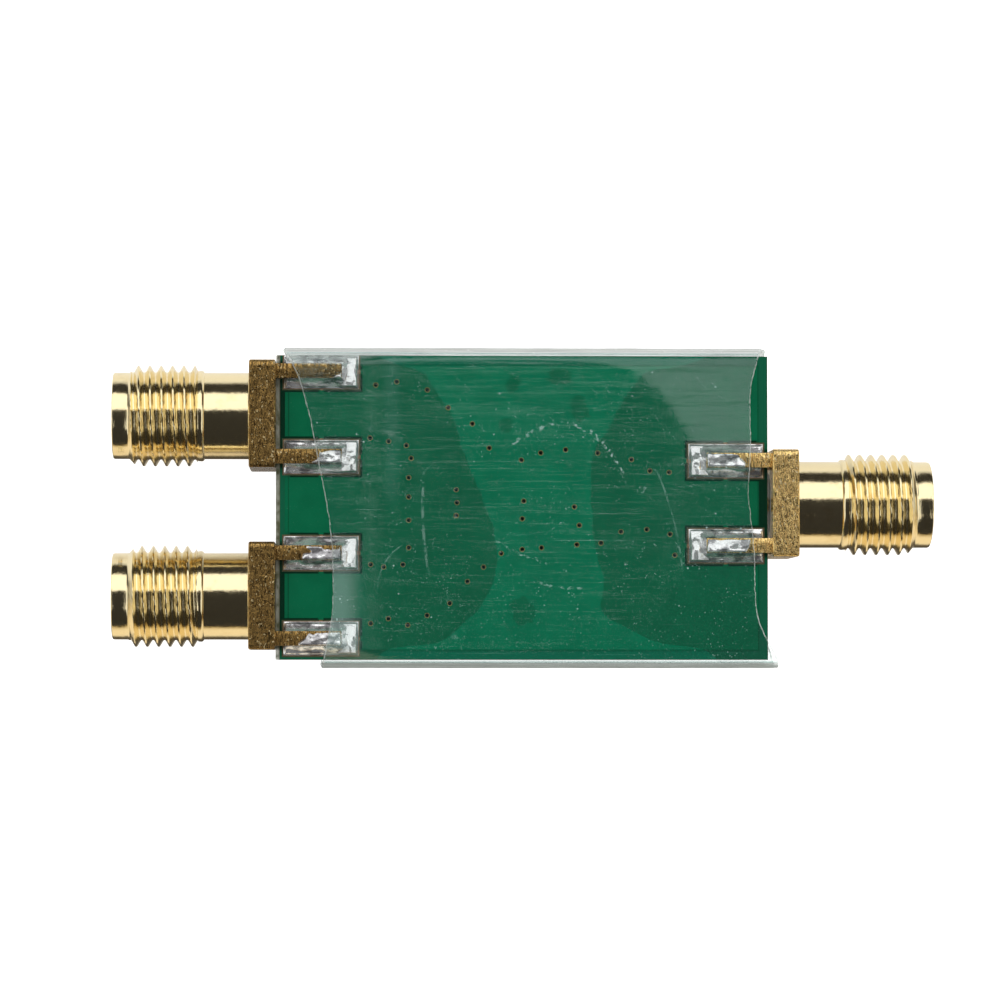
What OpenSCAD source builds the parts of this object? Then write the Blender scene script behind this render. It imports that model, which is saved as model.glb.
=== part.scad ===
// Three-port RF return-loss bridge: edge-launch coaxial jacks on a small circuit board,
// with a ferrite-loaded cable balun on the component side, all inside a clear heat-shrink sleeve.
// Millimetres. +Z is up and is the solder side of the board; +X points out of the test port.
// The origin is the centre of the footprint, on the plane that the three jack flanges rest on.

/* [Circuit board] */
// Board length along X
board_l = 30.4; // [30.2:0.1:30.6]
// Board width along Y
board_w = 18.9; // [18.9:0.1:19.1]
// Finished board thickness, with copper and solder mask
board_t = 1.6; // [1.5:0.05:1.7]
// Copper foil and plating thickness on each side
copper_t = 0.05; // [0.04:0.01:0.07]
// Solder mask thickness
mask_t = 0.03; // [0.02:0.01:0.04]
// Strip along the board edges that carries no copper
edge_margin = 0.6; // [0.4:0.05:0.6]

/* [Jacks] */
// Side of the square flange
flange_size = 6.66; // [6.5:0.02:6.8]
// Flange thickness
flange_t = 1.65; // [1.5:0.05:1.8]
// Distance between the back faces of the opposite flanges
flange_span = 30.8; // [30.8:0.1:31]
// From the back of the flange to the open end of the jack
jack_l = 10.15; // [9.8:0.05:10.5]
// Major radius of the 1/4-36 thread
thread_r = 3.15; // [3.1:0.01:3.17]
// Radius of the plain barrel
barrel_r = 2.7; // [2.65:0.01:2.72]
// Thread pitch, 36 turns to the inch
thread_pitch = 0.7056; // [0.7:0.0001:0.71]
// Distance of the source port from the board's centre line
source_y = 5.77; // [5.7:0.01:5.8]
// Distance of the detector port from the board's centre line
detector_y = -5.49; // [-5.6:0.01:-5.4]
// Distance of the test port from the board's centre line
test_y = 0.28; // [0.2:0.01:0.4]

/* [Balun] */
// Distance of the bead row from the board's centre line
bead_row_y = -5.6; // [-5.7:0.05:-5.5]
// Outer radius of a bead
bead_r = 1.7; // [1.6:0.05:1.7]
// Outer radius of the balun cable
cable_r = 0.6; // [0.55:0.01:0.6]

/* [Sleeve] */
// Film thickness
film_t = 0.22; // [0.15:0.01:0.24]
// Inside half width of the sleeve
sleeve_half_w = 9.75; // [9.7:0.01:9.8]

/* [Hidden] */
$fn = 48;
eps = 0.01;

// Heights, from the resting plane up
axis_z = flange_size / 2;
pin_r = 0.45;
pin_clearance = 0.02;
z_front_mask = axis_z + pin_r + pin_clearance;
z_front_copper = z_front_mask + mask_t;
z_core_low = z_front_copper + copper_t;
z_core_high = z_front_mask + board_t - mask_t - copper_t;
z_rear_copper = z_core_high + copper_t;
z_rear_mask = z_front_mask + board_t;

// Jack details, measured outwards from the back of the flange
flange_x = flange_span / 2;
leg_l = 4.1;
leg_w = 0.91;
leg_t = 1;
leg_offset = 2.645;
leg_clearance = 0.02;
thread_start = 4.5;
thread_l = 4.56;
root_r = barrel_r + 0.11;
crest_land = 0.08;
mating_depth = 1.93;
reference_x = jack_l - mating_depth;
mating_r = 2.3;
insulator_r = 2.05;
contact_r = 0.635;
shoulder_x = 0.4;
socket_r = 0.47;
socket_depth = 2.9;
slot_w = 0.12;
tail_l = 1.9;
corner_chamfer = 0.12;
mouth_chamfer = 0.15;

// Rear and front leg pads
pad_in = 10.22;
pad_out = 14.92;
pad_w = 2.14;
relief = 0.25;
spoke_w = 0.22;
mask_gap = 0.08;
mask_step = 0.05;
pin_pad_w = 1.2;
pin_pad_in = 12.9;
mask_pullback = 0.26;
// The board's left end reaches further, up to the two flanges
left_overhang = 0.18;

// Vias: drilled radius, plated bore radius and mask opening radius
via_r = 0.2;
via_bore_r = 0.13;
via_mask_r = 0.16;

// Signal tracks on the component side: half width of the track and of the cleared channel
track_half = 0.35;
channel_half = 0.55;
rail_top_y = 1.75;
rail_bottom_y = -1.68;
link_x = [-5.7, -2.1, 1.6];
track_start = 14.2;

// Chip resistors, 2.0 by 1.25 mm
chip_l = 2;
chip_w = 1.25;
chip_t = 0.5;
cap_l = 0.4;
cap_wall = 0.05;
chip_pad_l = 1;
chip_pad_w = 1.2;
chip_moat_l = chip_l + 1.5;
chip_moat_w = chip_w + 0.6;
chip_gap = 0.03;

// Balun cable: it runs level at cable_z, and a double bend at each end lifts it against the board
cable_z = z_front_mask - bead_r - 0.05;
cable_inner_r = 0.42;
core_r = 0.15;
cable_gap = 0.03;
cable_rise = z_front_copper - cable_gap - cable_r - cable_z;
lift_l = 1.9;
elbow = 1.06;
start_bend_x = 6.42;
end_bend_x = -4.4;
cable_turn_x = 8.3;
stub_l = 0.5;
dielectric_stub = 0.8;
core_stub = 2.2;
core_pad_l = 0.7;
bead_l = 2.9;
bead_pitch = 3;
bead_bore_r = cable_r + 0.05;
bead_start_x = -3.9;
turn_r = (rail_bottom_y - bead_row_y) / 2;

// Ground vias follow both sides of each signal track, [x, y]
upper_fence = [
    [-9.2, 7.6], [-7.9, 7.8], [-6, 7.3], [-4.7, 6.2], [-3.2, 5.2], [-2.15, 3.7], [-0.15, 2.95],
    [1.05, 3.4], [2.6, 3.6], [4.6, 3.4], [6.7, 3], [7.85, 2.3], [9.05, 2.2]
];
lower_fence = [
    [-9.5, -7.2], [-8.4, -6.9], [-7.2, -7.3], [-6, -6.7], [-4.6, -5.95], [-3.5, -4.6], [-2.5, -3.7],
    [-1.4, -2.85], [-0.1, -2.6], [1.1, -2.5], [3.3, -2.3], [4.8, -2.2], [6.05, -1.5], [7.65, -1.35],
    [9.1, -1.65], [9.4, -2.95]
];
port_fence = [
    [-9.55, 4.3], [-8.4, 4.1], [-7.3, 3.85], [-7, 3.05], [-7.15, 1.85], [-7.15, 0.65],
    [-7.15, -0.8], [-7.15, -2.5], [-7.5, -3.55], [-8.7, -3.7], [-9.5, -3.55]
];
island_vias = [[-4.2, 1.1], [-4.15, 0.3], [-4.2, -0.5], [0, 0.4], [-0.1, -0.7], [3.15, 0.05], [3.45, -1.1]];
vias = concat(upper_fence, lower_fence, port_fence, island_vias);

// Leg positions as [side, y]: side is -1 for the two left ports and 1 for the test port
legs = [
    [-1, source_y + leg_offset], [-1, source_y - leg_offset],
    [-1, detector_y + leg_offset], [-1, detector_y - leg_offset],
    [1, test_y + leg_offset], [1, test_y - leg_offset]
];
ports = [[-1, source_y], [-1, detector_y], [1, test_y]];

// Signal tracks, as polylines: source and test ports meet on the top rail, the reference side is the bottom rail
tracks = [
    [[-track_start, source_y], [-8.6, source_y], [-5.7, 4.9],
        [-3.3, 2.4], [-2.1, rail_top_y], [-1.1, rail_top_y]],
    [[0.7, rail_top_y], [link_x[2], rail_top_y], [4.3, 1], [7.2, test_y], [track_start, test_y]],
    [[-track_start, detector_y], [-8.1, detector_y]],
    [[link_x[0], -4.2], [-3.6, -2.5], [-2.1, rail_bottom_y], [2.6, rail_bottom_y]],
    [[link_x[0], 4.7], [link_x[0], 3.1]],
    [[link_x[0], -2.7], [link_x[0], -4.2]],
    [[4.3, 1], [4.3, -1.4]]
];
ground_link = [[link_x[0], 1], [link_x[0], -0.6]];

// Chip resistors as [x, y, turn]
source_shunt = [link_x[0], 2.2, 90];
reference = [link_x[0], -1.8, 90];
reference_arm = [link_x[1], 0.03, 90];
balance = [link_x[2], 0.03, 90];
series = [-0.2, rail_top_y, 0];
chips = [source_shunt, reference, reference_arm, balance, series];

// ---- Flat artwork ----

// Rectangle from two opposite corners
module rect(x0, y0, x1, y1) {
    translate([min(x0, x1), min(y0, y1)]) square([abs(x1 - x0), abs(y1 - y0)]);
}

module board_outline(inset = 0) {
    rect(-board_l / 2 - left_overhang + inset, -board_w / 2 + inset, board_l / 2 - inset, board_w / 2 - inset);
}

// Polyline of constant half width with round ends and slightly fuller corners
module track(points, half) {
    for (p = points) translate(p) circle(half * 1.04);
    for (i = [1 : len(points) - 1]) {
        d = points[i] - points[i - 1];
        translate(points[i - 1]) rotate(atan2(d[1], d[0]))
            translate([0, -half]) square([norm(d), 2 * half]);
    }
}

// Leg pads, grown by g on every side and kept inside the board
module leg_pads(g = 0) {
    intersection() {
        for (leg = legs)
            rect(leg[0] * (pad_in - g), leg[1] - pad_w / 2 - g,
                leg[0] * (pad_out + g), leg[1] + pad_w / 2 + g);
        board_outline(0.03);
    }
}

// Narrow copper bridges that join each leg pad to the ground plane
module spokes(g = 0) {
    reach = relief + 0.1;
    middle = (pad_in + pad_out) / 2;
    intersection() {
        for (leg = legs) {
            rect(leg[0] * (middle - spoke_w / 2 - g), leg[1] - pad_w / 2 - reach,
                leg[0] * (middle + spoke_w / 2 + g), leg[1] + pad_w / 2 + reach);
            rect(leg[0] * (pad_in - reach), leg[1] - spoke_w / 2 - g,
                leg[0] * pad_in, leg[1] + spoke_w / 2 + g);
        }
        board_outline(edge_margin - g);
    }
}

module rear_artwork(g = 0) {
    difference() {
        board_outline(edge_margin - g);
        leg_pads(relief - g);
    }
    leg_pads(g);
    spokes(g);
}

// Pads for the jack pins, at the ends of the signal tracks
module pin_pads(g = 0) {
    for (p = ports)
        rect(p[0] * (pin_pad_in - g), p[1] - pin_pad_w / 2 - g,
            p[0] * (pad_out + g), p[1] + pin_pad_w / 2 + g);
}

module chip_pads(g = 0) {
    for (c = chips) translate([c[0], c[1]]) rotate(c[2])
        for (s = [-1, 1])
            translate([s * (chip_l / 2 - cap_l / 2 + 0.15), 0])
                square([chip_pad_l + 2 * g, chip_pad_w + 2 * g], center = true);
}

// Where the balun cable's core and shield are soldered down, [x, y]
cable_ends = [[start_bend_x - lift_l, rail_bottom_y], [end_bend_x - lift_l, bead_row_y]];

module cable_pads(g = 0) {
    for (p = cable_ends) {
        translate(p) rect(-core_stub - g, -0.3 - g, core_pad_l - core_stub + g, 0.3 + g);
        translate(p) rect(-stub_l - g, -0.75 - g, g, 0.75 + g);
    }
}

module front_artwork(g = 0) {
    difference() {
        board_outline(edge_margin - g);
        leg_pads(relief - g);
        for (t = tracks) track(t, channel_half - g);
        for (c = chips) translate([c[0], c[1]]) rotate(c[2])
            square([chip_moat_l - 2 * g, chip_moat_w - 2 * g], center = true);
        for (p = ports)
            rect(p[0] * (pin_pad_in - 0.3 + g), p[1] - 1 + g, p[0] * board_l, p[1] + 1 - g);
    }
    leg_pads(g);
    spokes(g);
    pin_pads(g);
    chip_pads(g);
    for (t = tracks) track(t, track_half + g);
    track(ground_link, track_half - 0.1 + g);
}

module via_holes(r) {
    for (v = vias) translate(v) circle(r);
}

// ---- Laminate ----

module slab(low, high) {
    translate([0, 0, low]) linear_extrude(high - low) children();
}

module board_core() {
    color("darkkhaki") slab(z_core_low, z_core_high) difference() {
        board_outline();
        via_holes(via_r);
    }
}

module rear_copper() {
    color("peru") slab(z_core_high, z_rear_copper) difference() {
        rear_artwork();
        via_holes(via_r);
    }
}

module front_copper() {
    color("peru") slab(z_front_copper, z_core_low) difference() {
        front_artwork();
        via_holes(via_r);
    }
}

// Outline of the mask: pulled back from the board edge beside the two left ports
module mask_outline() {
    rect(-board_l / 2 - left_overhang + mask_pullback, -board_w / 2 + 0.03,
        board_l / 2 - 0.03, board_w / 2 - 0.03);
}

// The mask steps down onto the core wherever there is no copper
module rear_solder_mask() {
    color("seagreen") difference() {
        slab(z_core_high, z_rear_mask) difference() {
            mask_outline();
            leg_pads(mask_gap);
            via_holes(via_mask_r);
        }
        slab(z_core_high - eps, z_rear_copper) rear_artwork();
        slab(z_core_high + mask_t, z_rear_mask + eps) difference() {
            board_outline(-1);
            rear_artwork(mask_step);
        }
    }
}

// On the component side the mask also covers the vias
module front_solder_mask() {
    color("seagreen") difference() {
        slab(z_front_mask, z_core_low) difference() {
            mask_outline();
            leg_pads(mask_gap);
            pin_pads(mask_gap);
            chip_pads(mask_gap);
            cable_pads();
        }
        slab(z_front_copper, z_core_low + eps) front_artwork();
        slab(z_front_mask - eps, z_core_low - mask_t) difference() {
            board_outline(-1);
            front_artwork(mask_step);
        }
    }
}

module via_barrels() {
    color("goldenrod") slab(z_front_copper, z_rear_copper) difference() {
        via_holes(via_r);
        via_holes(via_bore_r);
    }
}

// ---- Jacks, built with +X pointing out of the port and the flange's back face at x = 0 ----

module along_x(r, x0, x1) {
    translate([x0, 0, 0]) rotate([0, 90, 0]) cylinder(r = r, h = x1 - x0);
}

// Outside of the barrel as [radius, distance] points: each thread ridge has a flat crest
ridges = floor(thread_l / thread_pitch);
ridge_start = thread_start + (thread_l - ridges * thread_pitch) / 2;
flank = (thread_pitch - 2 * crest_land) / 2;
ridge_steps = [0, flank, flank + crest_land, 2 * flank + crest_land];
barrel_profile = concat(
    [[0, 0], [barrel_r, 0], [barrel_r, thread_start - 0.1], [root_r, thread_start]],
    [for (i = [0 : ridges - 1], k = [0 : 3])
        [k == 0 || k == 3 ? root_r : thread_r,
            ridge_start + i * thread_pitch + crest_land / 2 + ridge_steps[k]]],
    [[root_r, thread_start + thread_l], [barrel_r, thread_start + thread_l + 0.12],
        [barrel_r, jack_l - 0.05], [barrel_r - 0.05, jack_l], [0, jack_l]]
);

// Square with the four corners cut
module flange_face() {
    h = flange_size / 2;
    c = corner_chamfer;
    polygon([
        [-h, -h + c], [-h + c, -h], [h - c, -h], [h, -h + c],
        [h, h - c], [h - c, h], [-h + c, h], [-h, h - c]
    ]);
}

module port_shell() {
    color("goldenrod") difference() {
        union() {
            rotate([0, 90, 0]) linear_extrude(flange_t) flange_face();
            rotate([0, 90, 0]) rotate_extrude() polygon(barrel_profile);
            for (s = [-1, 1]) {
                translate([-leg_l, s * leg_offset - leg_w / 2, z_rear_copper + leg_clearance - axis_z])
                    cube([leg_l + flange_t / 2, leg_w, leg_t]);
                translate([-leg_l, s * leg_offset - leg_w / 2, z_front_copper - leg_clearance - leg_t - axis_z])
                    cube([leg_l + flange_t / 2, leg_w, leg_t]);
            }
        }
        along_x(insulator_r, -1, reference_x);
        along_x(mating_r, reference_x, jack_l + 1);
        translate([jack_l - mouth_chamfer, 0, 0]) rotate([0, 90, 0])
            cylinder(r1 = mating_r, r2 = mating_r + mouth_chamfer, h = mouth_chamfer + eps);
    }
}

module port_insulator() {
    color("white") difference() {
        along_x(insulator_r, 0, reference_x);
        along_x(pin_r, -1, shoulder_x);
        along_x(contact_r, shoulder_x, reference_x + 1);
    }
}

module port_contact() {
    color("gold") difference() {
        union() {
            along_x(pin_r, -tail_l, shoulder_x);
            along_x(contact_r, shoulder_x, reference_x);
        }
        along_x(socket_r, reference_x - socket_depth, reference_x + 1);
        for (turn = [0, 90]) rotate([turn, 0, 0])
            translate([reference_x - 2, -slot_w / 2, -1]) cube([2.1, slot_w, 2]);
    }
}

// Puts a jack part at its port: side is -1 for the left edge and 1 for the right edge
module at_port(side, y) {
    if (side > 0) translate([flange_x, y, axis_z]) children();
    else mirror([1, 0, 0]) translate([flange_x, y, axis_z]) children();
}

// ---- Solder ----

// Low frustum of solder on a pad, with its sides sloping in
module solder_frustum(l, w, h) {
    slope = 0.35;
    intersection() {
        rotate([90, 0, 0]) linear_extrude(w, center = true)
            polygon([[0, 0], [l, 0], [l, h * 0.8], [l - slope, h], [0.8, h], [0, 0.15]]);
        rotate([90, 0, 90]) linear_extrude(l)
            polygon([[-w / 2, 0], [w / 2, 0], [w / 2 - slope, h], [-w / 2 + slope, h]]);
    }
}

// Solder round one leg on the face at height z: up is 1 on the rear face and -1 on the front face
module leg_joint(side, y, z, up) {
    h = 0.62;
    w = pad_w - 0.1;
    l = pad_out - pad_in - 0.1;
    difference() {
        translate([side * (pad_in + 0.05), y, z]) scale_to(side, up) solder_frustum(l, w, h);
        translate([side * (flange_x - leg_l / 2), y, z + up * leg_t / 2])
            cube([leg_l, leg_w, leg_t + 2 * leg_clearance + eps], center = true);
        translate([side * board_l / 2, 0, z + up * 5]) cube([0.6, 2 * board_w, 10], center = true);
    }
}

// Flips a shape left to right for side -1, and upside down for up -1
module scale_to(side, up) {
    mirror([side < 0 ? 1 : 0, 0, 0]) mirror([0, 0, up < 0 ? 1 : 0]) children();
}

module clipped_to_board() {
    intersection() {
        union() children();
        translate([-board_l / 2, -board_w / 2 + 0.03, -1]) cube([board_l, board_w - 0.06, 20]);
    }
}

module rear_ground_solder() {
    color("silver") clipped_to_board()
        for (leg = legs) leg_joint(leg[0], leg[1], z_rear_copper, 1);
}

module front_ground_solder() {
    color("silver") clipped_to_board()
        for (leg = legs) leg_joint(leg[0], leg[1], z_front_copper, -1);
}

module contact_solder() {
    color("silver") for (p = ports) difference() {
        translate([p[0] * (pin_pad_in + 0.05), p[1], z_front_copper])
            scale_to(p[0], -1) solder_frustum(pad_out - pin_pad_in - 0.1, pin_pad_w - 0.05, 0.5);
        at_port(p[0], p[1]) along_x(pin_r, -tail_l, 1);
    }
}

module resistor_solder() {
    color("silver") for (c = chips) translate([c[0], c[1], z_front_copper]) rotate([0, 0, c[2]])
        for (s = [-1, 1]) mirror([s < 0 ? 1 : 0, 0, 0])
            translate([chip_l / 2 - cap_l, 0, 0]) rotate([90, 0, 0])
                linear_extrude(chip_w - 0.15, center = true)
                    polygon([[0, 0], [cap_l + 0.3, 0], [cap_l, -0.38], [cap_l, -chip_gap], [0, -chip_gap]]);
}

// ---- Chip resistors, on the component side ----

module at_chip(c) {
    translate([c[0], c[1], z_front_copper - chip_gap]) rotate([0, 0, c[2]]) mirror([0, 0, 1]) children();
}

module chip_body(c) {
    color("dimgray") at_chip(c) translate([0, 0, chip_t / 2])
        cube([chip_l - 2 * cap_wall, chip_w, chip_t - 2 * cap_wall], center = true);
}

module chip_caps(c) {
    color("silver") at_chip(c) for (s = [-1, 1]) difference() {
        translate([s * (chip_l - cap_l) / 2, 0, chip_t / 2]) cube([cap_l, chip_w, chip_t], center = true);
        translate([0, 0, chip_t / 2])
            cube([chip_l - 2 * cap_wall, chip_w + 1, chip_t - 2 * cap_wall], center = true);
    }
}

// ---- Balun ----

// One end of the cable at [x, y]: a sloping run towards -X and +Z, then a level stub of length l
module cable_end(x, y, r, l) {
    translate([x, y, cable_z]) {
        sphere(r * elbow);
        rotate([0, -atan2(lift_l, cable_rise), 0]) cylinder(r = r, h = norm([lift_l, cable_rise]));
        translate([-lift_l, 0, cable_rise]) sphere(r * elbow);
        translate([0, 0, cable_rise]) along_x(r, -lift_l - l, -lift_l);
    }
}

// The cable's whole route at radius r, with stubs of length l
module cable_route(r, l) {
    translate([0, rail_bottom_y, cable_z]) along_x(r, start_bend_x, cable_turn_x);
    translate([0, bead_row_y, cable_z]) along_x(r, end_bend_x, cable_turn_x);
    translate([cable_turn_x, bead_row_y + turn_r, cable_z]) rotate([0, 0, -90])
        rotate_extrude(angle = 180) translate([turn_r, 0]) circle(r);
    cable_end(start_bend_x, rail_bottom_y, r, l);
    cable_end(end_bend_x, bead_row_y, r, l);
}

module balun_cable_shield() {
    color("lightgray") difference() {
        cable_route(cable_r, stub_l);
        cable_route(cable_inner_r, 2);
    }
}

module balun_cable_dielectric() {
    color("ivory") difference() {
        cable_route(cable_inner_r, dielectric_stub);
        cable_route(core_r, 2);
    }
}

module balun_cable_core() {
    color("silver") cable_route(core_r, core_stub);
}

module cable_solder() {
    color("silver") for (p = cable_ends) translate([p[0], p[1], z_front_copper]) {
        difference() {
            translate([-core_stub + 0.05, 0, -0.8]) rotate([90, 0, 90]) linear_extrude(core_pad_l - 0.1)
                polygon([[-0.28, 0.8], [-0.12, 0.1], [0.12, 0.1], [0.28, 0.8]]);
            translate([0, 0, cable_z + cable_rise - z_front_copper]) along_x(core_r, -3, 0);
        }
        difference() {
            translate([-stub_l + 0.05, 0, -0.75]) rotate([90, 0, 90]) linear_extrude(stub_l - 0.1)
                polygon([[-0.72, 0.75], [-0.5, 0], [0.5, 0], [0.72, 0.75]]);
            translate([0, 0, cable_z + cable_rise - z_front_copper]) along_x(cable_r, -3, 1);
        }
    }
}

module ferrite_bead(i) {
    x0 = bead_start_x + (i - 1) * bead_pitch;
    color("dimgray") translate([0, bead_row_y, cable_z]) difference() {
        along_x(bead_r, x0, x0 + bead_l);
        along_x(bead_bore_r, x0 - 1, x0 + bead_l + 1);
    }
}

// ---- Sleeve ----

// Inside cross-section [y, z], grown by g to give the outside
function sleeve_section(g) = [
    [-sleeve_half_w - g, 3.4 - g * 0.3], [-7 - g * 0.5, 0.3 - g],
    [-4.2, 0.3 - g], [8.95 + g * 0.5, 2.72 - g],
    [sleeve_half_w + g, 3.5 - g * 0.3], [sleeve_half_w + g, 5.35 + g * 0.3],
    [9.05 + g * 0.5, sleeve_high + g],
    [-9.05 - g * 0.5, sleeve_high + g], [-sleeve_half_w - g, 5.35 + g * 0.3]
];
sleeve_high = z_rear_copper + leg_clearance + leg_t + 0.02;
sleeve_low = z_rear_mask + 0.03;
sleeve_reach = 17;

// Side profile [x, z]: close to the board in the middle, lifted over the legs at both ends
function sleeve_profile(g) = [
    [-sleeve_reach, -1], [sleeve_reach, -1], [sleeve_reach, sleeve_high + g], [11, sleeve_high + g],
    [9.5, sleeve_low + g], [-9.5, sleeve_low + g], [-11, sleeve_high + g], [-sleeve_reach, sleeve_high + g]
];

module sleeve_form(g) {
    intersection() {
        rotate([90, 0, 90]) linear_extrude(2 * sleeve_reach, center = true) polygon(sleeve_section(g));
        rotate([90, 0, 0]) linear_extrude(40, center = true) polygon(sleeve_profile(g));
    }
}

// Both ends draw back in a shallow arc, as the tube shrinks: [edge x at the deepest point, y, radius]
left_end = [-11.85, -4.8, 34.4];
right_end = [13.95, 2.3, 36.5];

module heat_shrink_sleeve() {
    color([0.9, 0.95, 0.92, 0.35]) difference() {
        sleeve_form(film_t);
        sleeve_form(0);
        translate([left_end[0] - left_end[2], left_end[1], -2]) cylinder(r = left_end[2], h = 12);
        translate([right_end[0] + right_end[2], right_end[1], -2]) cylinder(r = right_end[2], h = 12);
    }
}

board_core();
rear_copper();
front_copper();
rear_solder_mask();
front_solder_mask();
via_barrels();
at_port(-1, source_y) port_shell();  // source_port_shell
at_port(-1, source_y) port_insulator();  // source_port_insulator
at_port(-1, source_y) port_contact();  // source_port_contact
at_port(-1, detector_y) port_shell();  // detector_port_shell
at_port(-1, detector_y) port_insulator();  // detector_port_insulator
at_port(-1, detector_y) port_contact();  // detector_port_contact
at_port(1, test_y) port_shell();  // test_port_shell
at_port(1, test_y) port_insulator();  // test_port_insulator
at_port(1, test_y) port_contact();  // test_port_contact
rear_ground_solder();
front_ground_solder();
contact_solder();
chip_body(source_shunt);  // source_shunt_resistor_body
chip_caps(source_shunt);  // source_shunt_resistor_caps
chip_body(reference_arm);  // reference_arm_resistor_body
chip_caps(reference_arm);  // reference_arm_resistor_caps
chip_body(reference);  // reference_resistor_body
chip_caps(reference);  // reference_resistor_caps
chip_body(balance);  // balance_resistor_body
chip_caps(balance);  // balance_resistor_caps
chip_body(series);  // series_resistor_body
chip_caps(series);  // series_resistor_caps
resistor_solder();
balun_cable_shield();
balun_cable_dielectric();
balun_cable_core();
cable_solder();
ferrite_bead(1);  // ferrite_bead_1
ferrite_bead(2);  // ferrite_bead_2
ferrite_bead(3);  // ferrite_bead_3
ferrite_bead(4);  // ferrite_bead_4
heat_shrink_sleeve();
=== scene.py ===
import math

import bmesh
import bpy
import numpy as np
from mathutils import Matrix, Vector, noise


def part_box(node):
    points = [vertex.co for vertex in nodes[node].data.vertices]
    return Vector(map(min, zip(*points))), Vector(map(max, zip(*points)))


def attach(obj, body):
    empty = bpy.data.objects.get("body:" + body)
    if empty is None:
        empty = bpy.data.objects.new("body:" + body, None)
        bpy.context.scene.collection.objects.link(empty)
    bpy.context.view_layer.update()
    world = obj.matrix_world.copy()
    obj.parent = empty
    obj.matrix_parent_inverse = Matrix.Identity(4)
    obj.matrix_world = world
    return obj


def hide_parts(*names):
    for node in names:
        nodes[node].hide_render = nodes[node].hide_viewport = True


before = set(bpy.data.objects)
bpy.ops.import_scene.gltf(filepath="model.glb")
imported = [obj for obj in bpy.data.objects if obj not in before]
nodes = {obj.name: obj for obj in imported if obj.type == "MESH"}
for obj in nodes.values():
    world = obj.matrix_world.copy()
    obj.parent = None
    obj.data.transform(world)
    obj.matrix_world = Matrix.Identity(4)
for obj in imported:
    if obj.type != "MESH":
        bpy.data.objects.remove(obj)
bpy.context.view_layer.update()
MM = 0.001


# ---------------------------------------------------------------- helpers: shader nodes
class Shader:
    """Short way to build a node material: s(kind, {input: value or node}, property=value)."""

    def __init__(self, name):
        self.mat = bpy.data.materials.new(name)
        self.mat.use_nodes = True
        self.tree = self.mat.node_tree
        self.tree.nodes.clear()
        self.pos = self.vec("MULTIPLY", self("TexCoord").outputs["Object"], (1 / MM,) * 3)

    def __call__(self, kind, ins=None, **props):
        node = self.tree.nodes.new("ShaderNode" + kind)
        for key, value in props.items():
            setattr(node, key, value)
        for key, value in (ins or {}).items():
            self.put(node.inputs[key], value)
        return node

    def put(self, socket, value):
        if isinstance(value, bpy.types.Node):
            value = value.outputs[0]
        if isinstance(value, bpy.types.NodeSocket):
            self.tree.links.new(value, socket)
        else:
            socket.default_value = value

    def vec(self, op, a, b):
        return self("VectorMath", {0: a, 1: b}, operation=op)

    def math(self, op, a, b=0.0, clamp=False):
        return self("Math", {0: a, 1: b}, operation=op, use_clamp=clamp)

    def mul(self, a, b, clamp=False):
        return self.math("MULTIPLY", a, b, clamp)

    def add(self, a, b, clamp=False):
        return self.math("ADD", a, b, clamp)

    def sub(self, a, b):
        return self.math("SUBTRACT", a, b)

    def max(self, a, b):
        return self.math("MAXIMUM", a, b)

    def abs(self, a):
        return self.math("ABSOLUTE", a)

    def axis(self, index, of=None):
        return self("SeparateXYZ", {0: of or self.pos}).outputs[index]

    def noise(self, scale, detail=3.0, stretch=(1, 1, 1), rough=0.55, seed=0.0):
        vec = self.vec("ADD", self.vec("MULTIPLY", self.pos, stretch), (seed, seed * 1.7, seed * 0.3))
        node = self("TexNoise", {"Vector": vec, "Scale": scale, "Detail": detail, "Roughness": rough})
        return node.outputs[0]

    def cells(self, scale):
        """Distance to the nearest of many scattered points."""
        return self("TexVoronoi", {"Vector": self.pos, "Scale": scale, "Randomness": 1.0}).outputs[0]

    def step(self, value, low, high, to_low=0.0, to_high=1.0, smooth=True):
        node = self("MapRange", {0: value, 1: low, 2: high, 3: to_low, 4: to_high})
        node.interpolation_type = "SMOOTHSTEP" if smooth else "LINEAR"
        return node.outputs[0]

    def mix(self, factor, a, b):
        node = self("Mix", data_type="RGBA")
        for socket, value in zip((node.inputs[0], node.inputs[6], node.inputs[7]), (factor, a, b)):
            self.put(socket, value if not isinstance(value, tuple) else (*value, 1.0))
        return node.outputs[2]

    def bump(self, height, depth_mm, strength=1.0, normal=None):
        ins = {"Height": height, "Distance": depth_mm * MM, "Strength": strength}
        if normal is not None:
            ins["Normal"] = normal
        return self("Bump", ins)

    def surface(self, shader):
        out = self("OutputMaterial")
        self.put(out.inputs["Surface"], shader)
        return self.mat

    def principled(self, color, rough, metal=0.0, normal=None, **more):
        ins = {"Base Color": color if not isinstance(color, tuple) else (*color, 1.0), "Roughness": rough,
               "Metallic": metal}
        ins.update({key.replace("_", " "): value for key, value in more.items()})
        if normal is not None:
            ins["Normal"] = normal
        return self.surface(self("BsdfPrincipled", ins))


# ---------------------------------------------------------------- helpers: meshes, in millimetres
def cad(node):
    low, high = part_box(node)
    return np.array(low) / MM, np.array(high) / MM


def grid_faces(rows, cols, close_rows=False, close_cols=False, flip=False):
    r = np.arange(rows if close_rows else rows - 1)
    c = np.arange(cols if close_cols else cols - 1)
    r, c = np.meshgrid(r, c, indexing="ij")
    r2, c2 = (r + 1) % rows, (c + 1) % cols
    faces = np.stack([r * cols + c, r * cols + c2, r2 * cols + c2, r2 * cols + c], -1).reshape(-1, 4)
    return (faces[:, ::-1] if flip else faces).tolist()


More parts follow.
